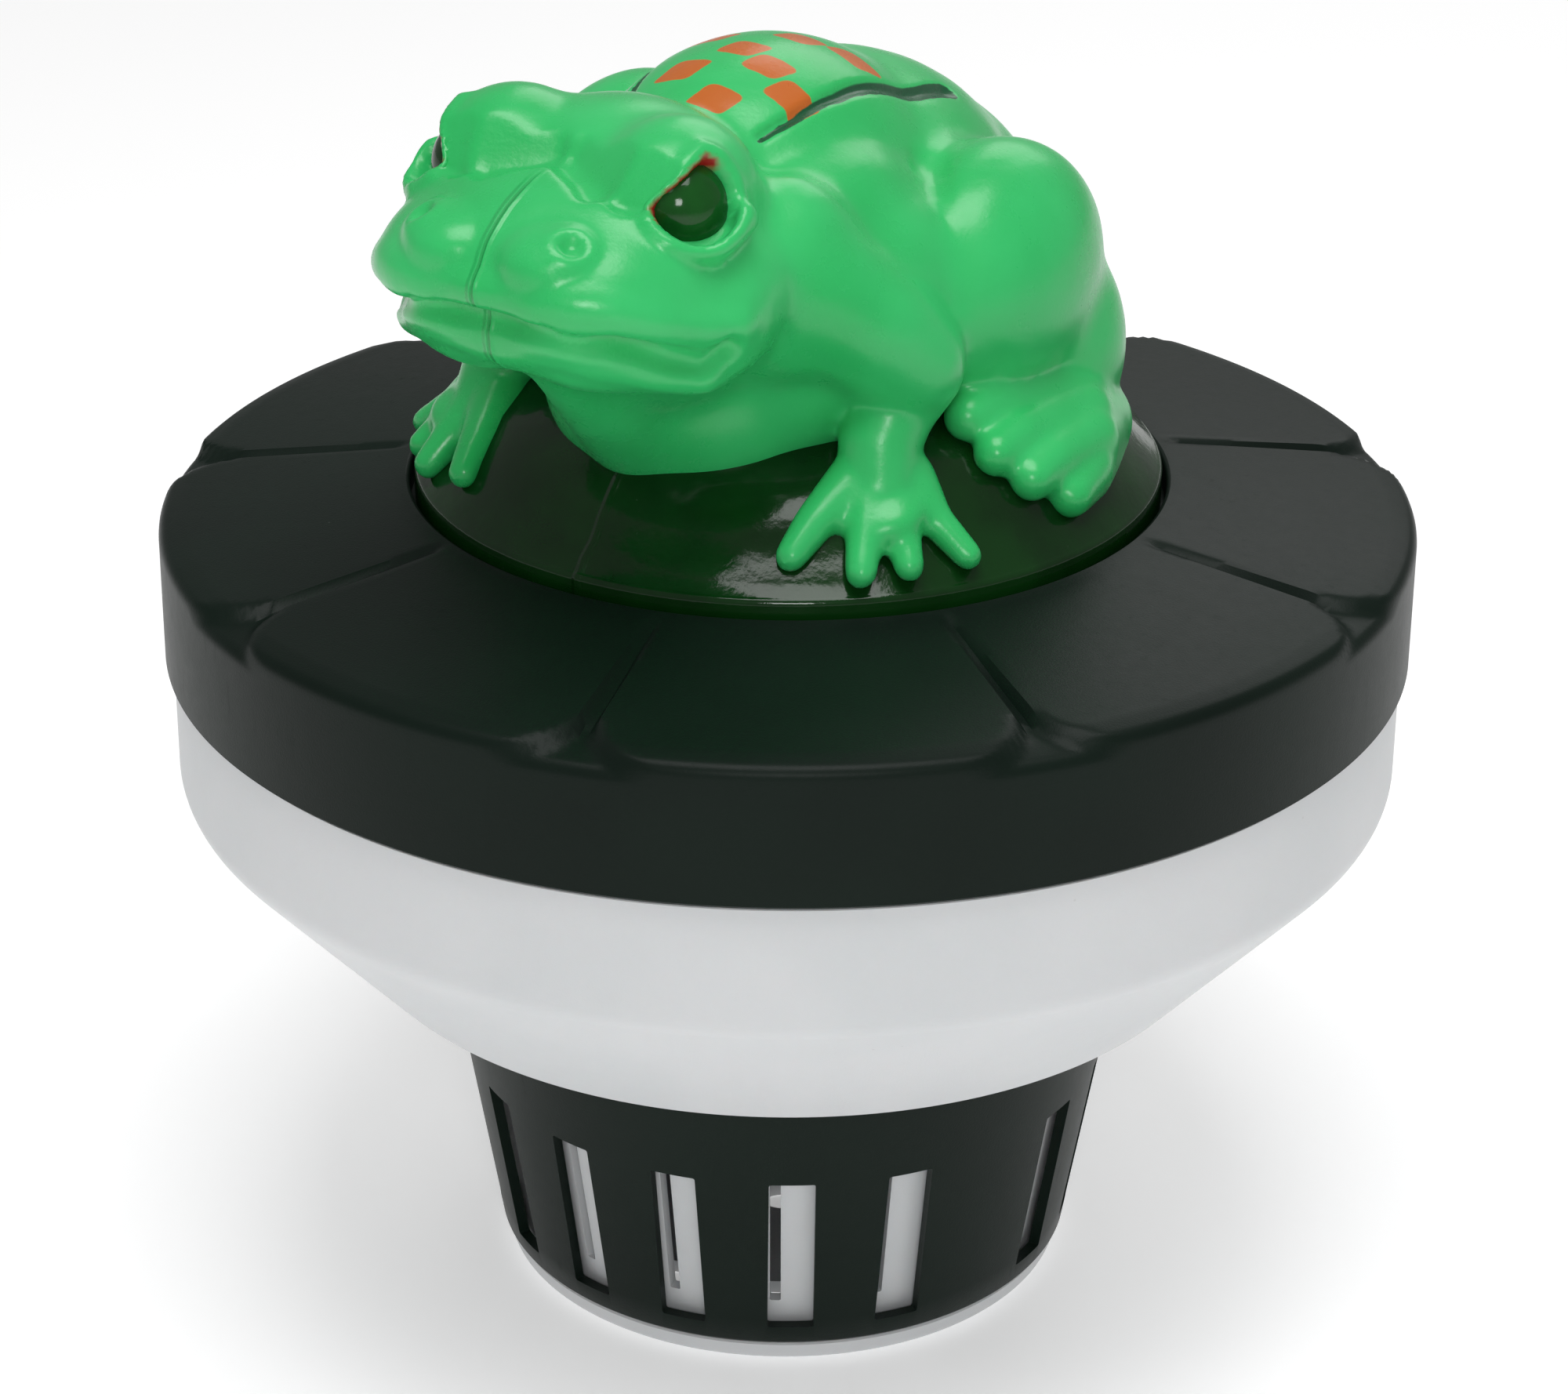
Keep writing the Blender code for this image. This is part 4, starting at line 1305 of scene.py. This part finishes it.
    def sculpt_face(self, skin: bpy.types.Object) -> None:
        """Cut the mouth, nostrils and eye sockets, raise the lids and lips, flatten the brows."""
        places = self.folded(skin)
        outside, slant, away = self.almond(places)
        near = step(away, 13.0, 10.0)
        upper = step(slant, -0.5, 2.5)
        ridge = np.exp(-(((outside - 1.5) / 1.2) ** 2)) * near
        push(skin, ridge * (0.55 + 0.45 * upper), 1.1 * MM)
        places = self.folded(skin)
        outside, _, away = self.almond(places)
        push(skin, step(outside, 0.35, -0.75) * step(away, 12.0, 9.0), -3.6 * MM)
        places = self.folded(skin)
        upper_lip = ((0, -85, 53.6), (12, -83, 54.2), (20, -78.5, 52.6), (27, -70.5, 48.8), (31, -62, 47.6))
        lower_lip = ((0, -81, 44.8), (12, -80, 44.8), (20, -75.5, 42.6), (28, -66.5, 39.2))
        for lip in (upper_lip, lower_lip):
            push(skin, step(self.reach(places, lip)[0], 4.6, 0.5), 0.9 * MM)
        places = self.folded(skin)
        mouth = (
            (0, -83.5, 48.9), (11, -82.4, 49.2), (19, -78.6, 47.6),
            (25, -72.6, 44.6), (28.5, -67.6, 42.6), (30.5, -64.0, 44.2),
        )
        away, along = self.reach(places, mouth)
        push(skin, step(away, 2.9, 0.3) * (0.80 + 0.20 * step(along, 0.2, 0.5)), -2.9 * MM)
        places = self.folded(skin)
        nostril = np.linalg.norm(places - np.array((12.8, -78.8, 61.2)), axis=1)
        push(skin, np.exp(-(((nostril - 2.9) / 1.1) ** 2)), 0.45 * MM)
        push(skin, step(nostril, 2.5, 0.4), -1.5 * MM)
        self.flatten(skin, (7.5, -62.7, 68.0), (-0.34, -0.74, 0.58), 8.6)
        self.flatten(skin, (15.5, -64.6, 68.4), (0.16, -0.82, 0.55), 7.0)

    def flatten(self, skin: bpy.types.Object, middle: Point, normal: Point, radius: float) -> None:
        """Press a facet flat, on both sides.

        Args:
            skin: the frog.
            middle: a point of the facet.
            normal: the way it faces.
            radius: how far it reaches.
        """
        places = self.folded(skin)
        facing = np.array(normal) / np.linalg.norm(normal)
        local = places - np.array(middle)
        height = local @ facing
        along = np.linalg.norm(local - height[:, None] * facing, axis=1)
        share = step(along, radius, radius * 0.70) * step(np.abs(height), 5.0, 3.0)
        push(skin, share * np.clip(height, 0, self.facet_depth) / self.facet_depth, -self.facet_depth * MM)

    def sculpt_body(self, skin: bpy.types.Object) -> None:
        """Press in the thigh's crease and the two long lines of the back."""
        places = self.folded(skin)
        crease = ((27, -2, 56.5), (33, -12, 49), (38.5, -12.5, 38), (42, -8, 29))
        push(skin, step(self.reach(places, crease)[0], 4.5, 0.0), -1.3 * MM)
        away, along = self.from_back_line(self.folded(skin))
        push(skin, step(away, 0.9 + 1.0 * along, 0.1), -1.0 * MM)

    def from_back_line(self, places: np.ndarray) -> tuple[np.ndarray, np.ndarray]:
        """Measure points in plan from the back's left line, from the shoulders to the rump.

        Args:
            places: the folded points.

        Returns:
            Each point's distance, and its share of the way along the line.
        """
        line = ((12.4, -28.5, 0), (14.4, -22, 0), (15.8, -12, 0), (16.2, 0, 0), (16.0, 12, 0), (15.6, 22, 0))
        away, along = self.reach(places * (1, 1, 0), line)
        return np.where(places[:, 2] > self.back_floor, away, np.inf), along

    def paint(self, skin: bpy.types.Object) -> None:
        """Store the masks that the finish reads: the back's lines and the red lids."""
        places = self.folded(skin)
        away, along = self.from_back_line(places)
        outside, slant, near = self.almond(places)
        masks = {
            "stripe": step(away, 0.75 + 1.15 * along, 0.30 + 0.9 * along),
            "red": step(outside, 0.9, 0.5) * step(outside, -1.4, -0.8) * step(slant, 0.8, 1.6) * (near < 9),
        }
        for name, values in masks.items():
            layer = skin.data.attributes.new(name, "FLOAT", "POINT")
            layer.data.foreach_set("value", values.astype(np.float32))

    def build(self, material: bpy.types.Material) -> None:
        """Sculpt and dress the frog.

        Args:
            material: its finish.
        """
        deselect()
        skin = self.fuse([self.masses(), self.features()], self.fine_voxel, 6)
        self.sculpt_face(skin)
        self.sculpt_body(skin)
        apply(skin, "SMOOTH", factor=0.5, iterations=2)
        self.paint(skin)
        finish_mesh(skin, 80.0)
        dress(skin, material, Body.CAP)
        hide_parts("frog_cap")

    def build_eyes(self, material: bpy.types.Material) -> None:
        """Model and dress the two glassy eyes.

        Args:
            material: their finish.
        """
        facing = np.array(self.eye_facing) / np.linalg.norm(self.eye_facing)
        centre = np.array(self.eye_middle) - facing * self.ball_depth
        for name, side in (("left_eye", 1), ("right_eye", -1)):
            deselect()
            x, y, z = centre * MM * (side, 1, 1)
            place = (x, y, z + self.layout.rim)
            bpy.ops.mesh.primitive_uv_sphere_add(
                segments=64, ring_count=40, radius=self.ball_radius * MM, location=place
            )
            eye = named(name)
            finish_mesh(eye, 80.0)
            dress(eye, material, Body.CAP)
            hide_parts("frog_cap")


@dataclass
class Dome:
    """The glossy dome that the frog sits on, with its lip and parting seam."""

    layout: Layout
    lip_radius: float = 0.0013
    wall: float = 0.0020
    hole_gap: float = 0.0008
    outline: tuple[Ring, ...] = (
        (0.10, 0.994), (0.30, 0.945), (0.45, 0.88), (0.58, 0.79), (0.70, 0.665), (0.80, 0.53),
        (0.85, 0.42), (0.885, 0.33), (0.925, 0.20), (0.965, 0.13),
    )
    rise_share: float = 0.437
    crown_radius: float = 0.0040
    segments: int = 240

    def build(self, material: bpy.types.Material) -> None:
        """Model and dress the dome.

        Args:
            material: its finish.
        """
        radius, rim = self.layout.hole_radius - self.hole_gap, self.layout.rim
        low = self.layout.cap[0].z
        outer = [(radius * r, rim + self.rise_share * radius * z) for r, z in self.outline]
        inner = [(max(self.crown_radius, r - self.wall), z - self.wall) for r, z in reversed(outer)]
        profile = [
            *outer,
            *rounded((radius - self.lip_radius, rim + SEAT_GAP), self.lip_radius, 70, 0, 6),
            (radius, low),
            (radius - self.wall, low),
            *inner,
        ]
        piece = turn_shell("cap_dome", profile, self.segments)
        dress(piece, material, Body.CAP)
        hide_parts("frog_cap")


@dataclass
class Studio:
    """The pale floor, the soft lights and the camera."""

    azimuth: float = math.radians(32.0)
    elevation: float = math.radians(25.04)
    distance: float = 0.7237
    target_height: float = 0.0989
    target_side: float = -0.00043
    roll: float = math.radians(0.401)
    lens: float = 100.0
    sensor: float = 36.0
    world_light: float = 0.28
    floor_glow: float = 0.33
    floor_size: float = 6.0
    floor_drop: float = 0.0002
    lit_height: float = 0.12

    def build(self) -> None:
        """Add the floor, the world, the lights and the camera."""
        deselect()
        bpy.ops.mesh.primitive_plane_add(size=self.floor_size, location=(0, 0, -self.floor_drop))
        floor = named("floor")
        shader = Shader("floor_white")
        mottle = shader.noise(0.4, 2.0)
        colour = shader.blend(mottle, (0.86, 0.86, 0.86), (0.90, 0.90, 0.90))
        glow = {"Emission_Strength": self.floor_glow, "Emission_Color": (1.0, 1.0, 1.0, 1.0)}
        floor.data.materials.append(shader.finish(colour, 0.8, **glow))
        self.light_world()
        self.add_light("top", (0.15, -0.20, 1.4), 0.8, 11.0)
        self.add_light("window", (0.75, -1.15, 0.80), 0.32, 5.0)
        self.add_light("back", (-0.3, 1.3, 1.1), 0.9, 4.0)
        self.add_camera()

    def light_world(self) -> None:
        """Give the world an even soft light, with white behind the object."""
        world = bpy.context.scene.world or bpy.data.worlds.new("studio")
        bpy.context.scene.world = world
        world.use_nodes = True
        tree = world.node_tree
        tree.nodes.clear()
        output = tree.nodes.new("ShaderNodeOutputWorld")
        background = tree.nodes.new("ShaderNodeBackground")
        seen = tree.nodes.new("ShaderNodeLightPath")
        strength = tree.nodes.new("ShaderNodeMapRange")
        strength.inputs["To Min"].default_value = self.world_light
        strength.inputs["To Max"].default_value = 1.0
        tree.links.new(seen.outputs["Is Camera Ray"], strength.inputs["Value"])
        tree.links.new(strength.outputs["Result"], background.inputs["Strength"])
        tree.links.new(background.outputs[0], output.inputs["Surface"])
        background.inputs["Color"].default_value = (1.0, 1.0, 1.0, 1.0)

    def add_light(self, name: str, place: Point, size: float, power: float) -> None:
        """Add one soft square light that looks at the object.

        Args:
            name: the light's name.
            place: where it stands.
            size: its width in metres.
            power: its power in watts.
        """
        data = bpy.data.lights.new(name, "AREA")
        data.size = size
        data.energy = power
        light = bpy.data.objects.new(name, data)
        bpy.context.scene.collection.objects.link(light)
        light.location = place
        light.rotation_mode = "QUATERNION"
        facing = Vector(place) - Vector((0, 0, self.lit_height))
        light.rotation_quaternion = facing.to_track_quat("Z", "Y")

    def add_camera(self) -> None:
        """Place the camera and make it the scene's."""
        data = bpy.data.cameras.new("view")
        data.lens = self.lens
        data.sensor_width = self.sensor
        camera = bpy.data.objects.new("view", data)
        bpy.context.scene.collection.objects.link(camera)
        side = Vector((math.cos(self.azimuth), math.sin(self.azimuth), 0.0))
        back = Vector((
            math.sin(self.azimuth) * math.cos(self.elevation),
            -math.cos(self.azimuth) * math.cos(self.elevation),
            math.sin(self.elevation),
        ))
        target = Vector((0, 0, self.target_height)) + side * self.target_side
        camera.location = target + back * self.distance
        camera.rotation_mode = "QUATERNION"
        camera.rotation_quaternion = back.to_track_quat("Z", "Y") @ Quaternion((0, 0, 1), self.roll)
        bpy.context.scene.camera = camera


def finishes() -> dict[str, bpy.types.Material]:
    """Make every finish once and return them by their short names."""
    return {
        "white": MouldedPlastic(
            "white_polypropylene", (0.66, 0.67, 0.68), (0.60, 0.62, 0.63), 0.42,
            specks=(0.30, 0.30, 0.28), through=0.05,
        ).material(),
        "dark": MouldedPlastic(
            "dark_green_polypropylene", (0.0040, 0.0085, 0.0060), (0.0060, 0.0130, 0.0090), 0.40,
            specks=(0.10, 0.12, 0.10), shine=0.11,
        ).material(),
        "dome": GlossPaint(
            "dome_gloss_green", (0.0020, 0.0200, 0.0025), (0.0035, 0.034, 0.0045), seam=True
        ).material(),
        "eyes": GlossPaint("eye_gloss_green", (0.0025, 0.030, 0.0035), (0.0060, 0.075, 0.0090)).material(),
        "frog": FrogGreen().material(),
        "rubber": Rubber().material(),
    }


def main() -> None:
    """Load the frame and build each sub-assembly."""
    logging.basicConfig(level=logging.INFO, format="%(name)s: %(message)s")
    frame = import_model()
    deselect()
    layout = Layout()
    finish = finishes()
    FloatHull(layout).build(finish["white"])
    LidRing(layout).build(finish["dark"])
    lower = LowerEnd(layout)
    lower.build_collar(finish["dark"])
    lower.build_basket(finish["white"])
    lower.build_bottom(finish["white"])
    frog = FrogSkin(layout)
    frog.build(finish["frog"])
    frog.build_eyes(finish["eyes"])
    Dome(layout).build(finish["dome"])
    for name, short in (("hull_seal", "rubber"), ("cap_seal", "rubber"), ("cap_plug", "dark")):
        node = frame["nodes"][name]
        node.data.materials.clear()
        node.data.materials.append(finish[short])
        LOG.info("%s: kept as packed, in %s", name, finish[short].name)
    Studio().build()
    bpy.context.scene.view_settings.view_transform = "Standard"


if __name__ == "__main__":
    main()
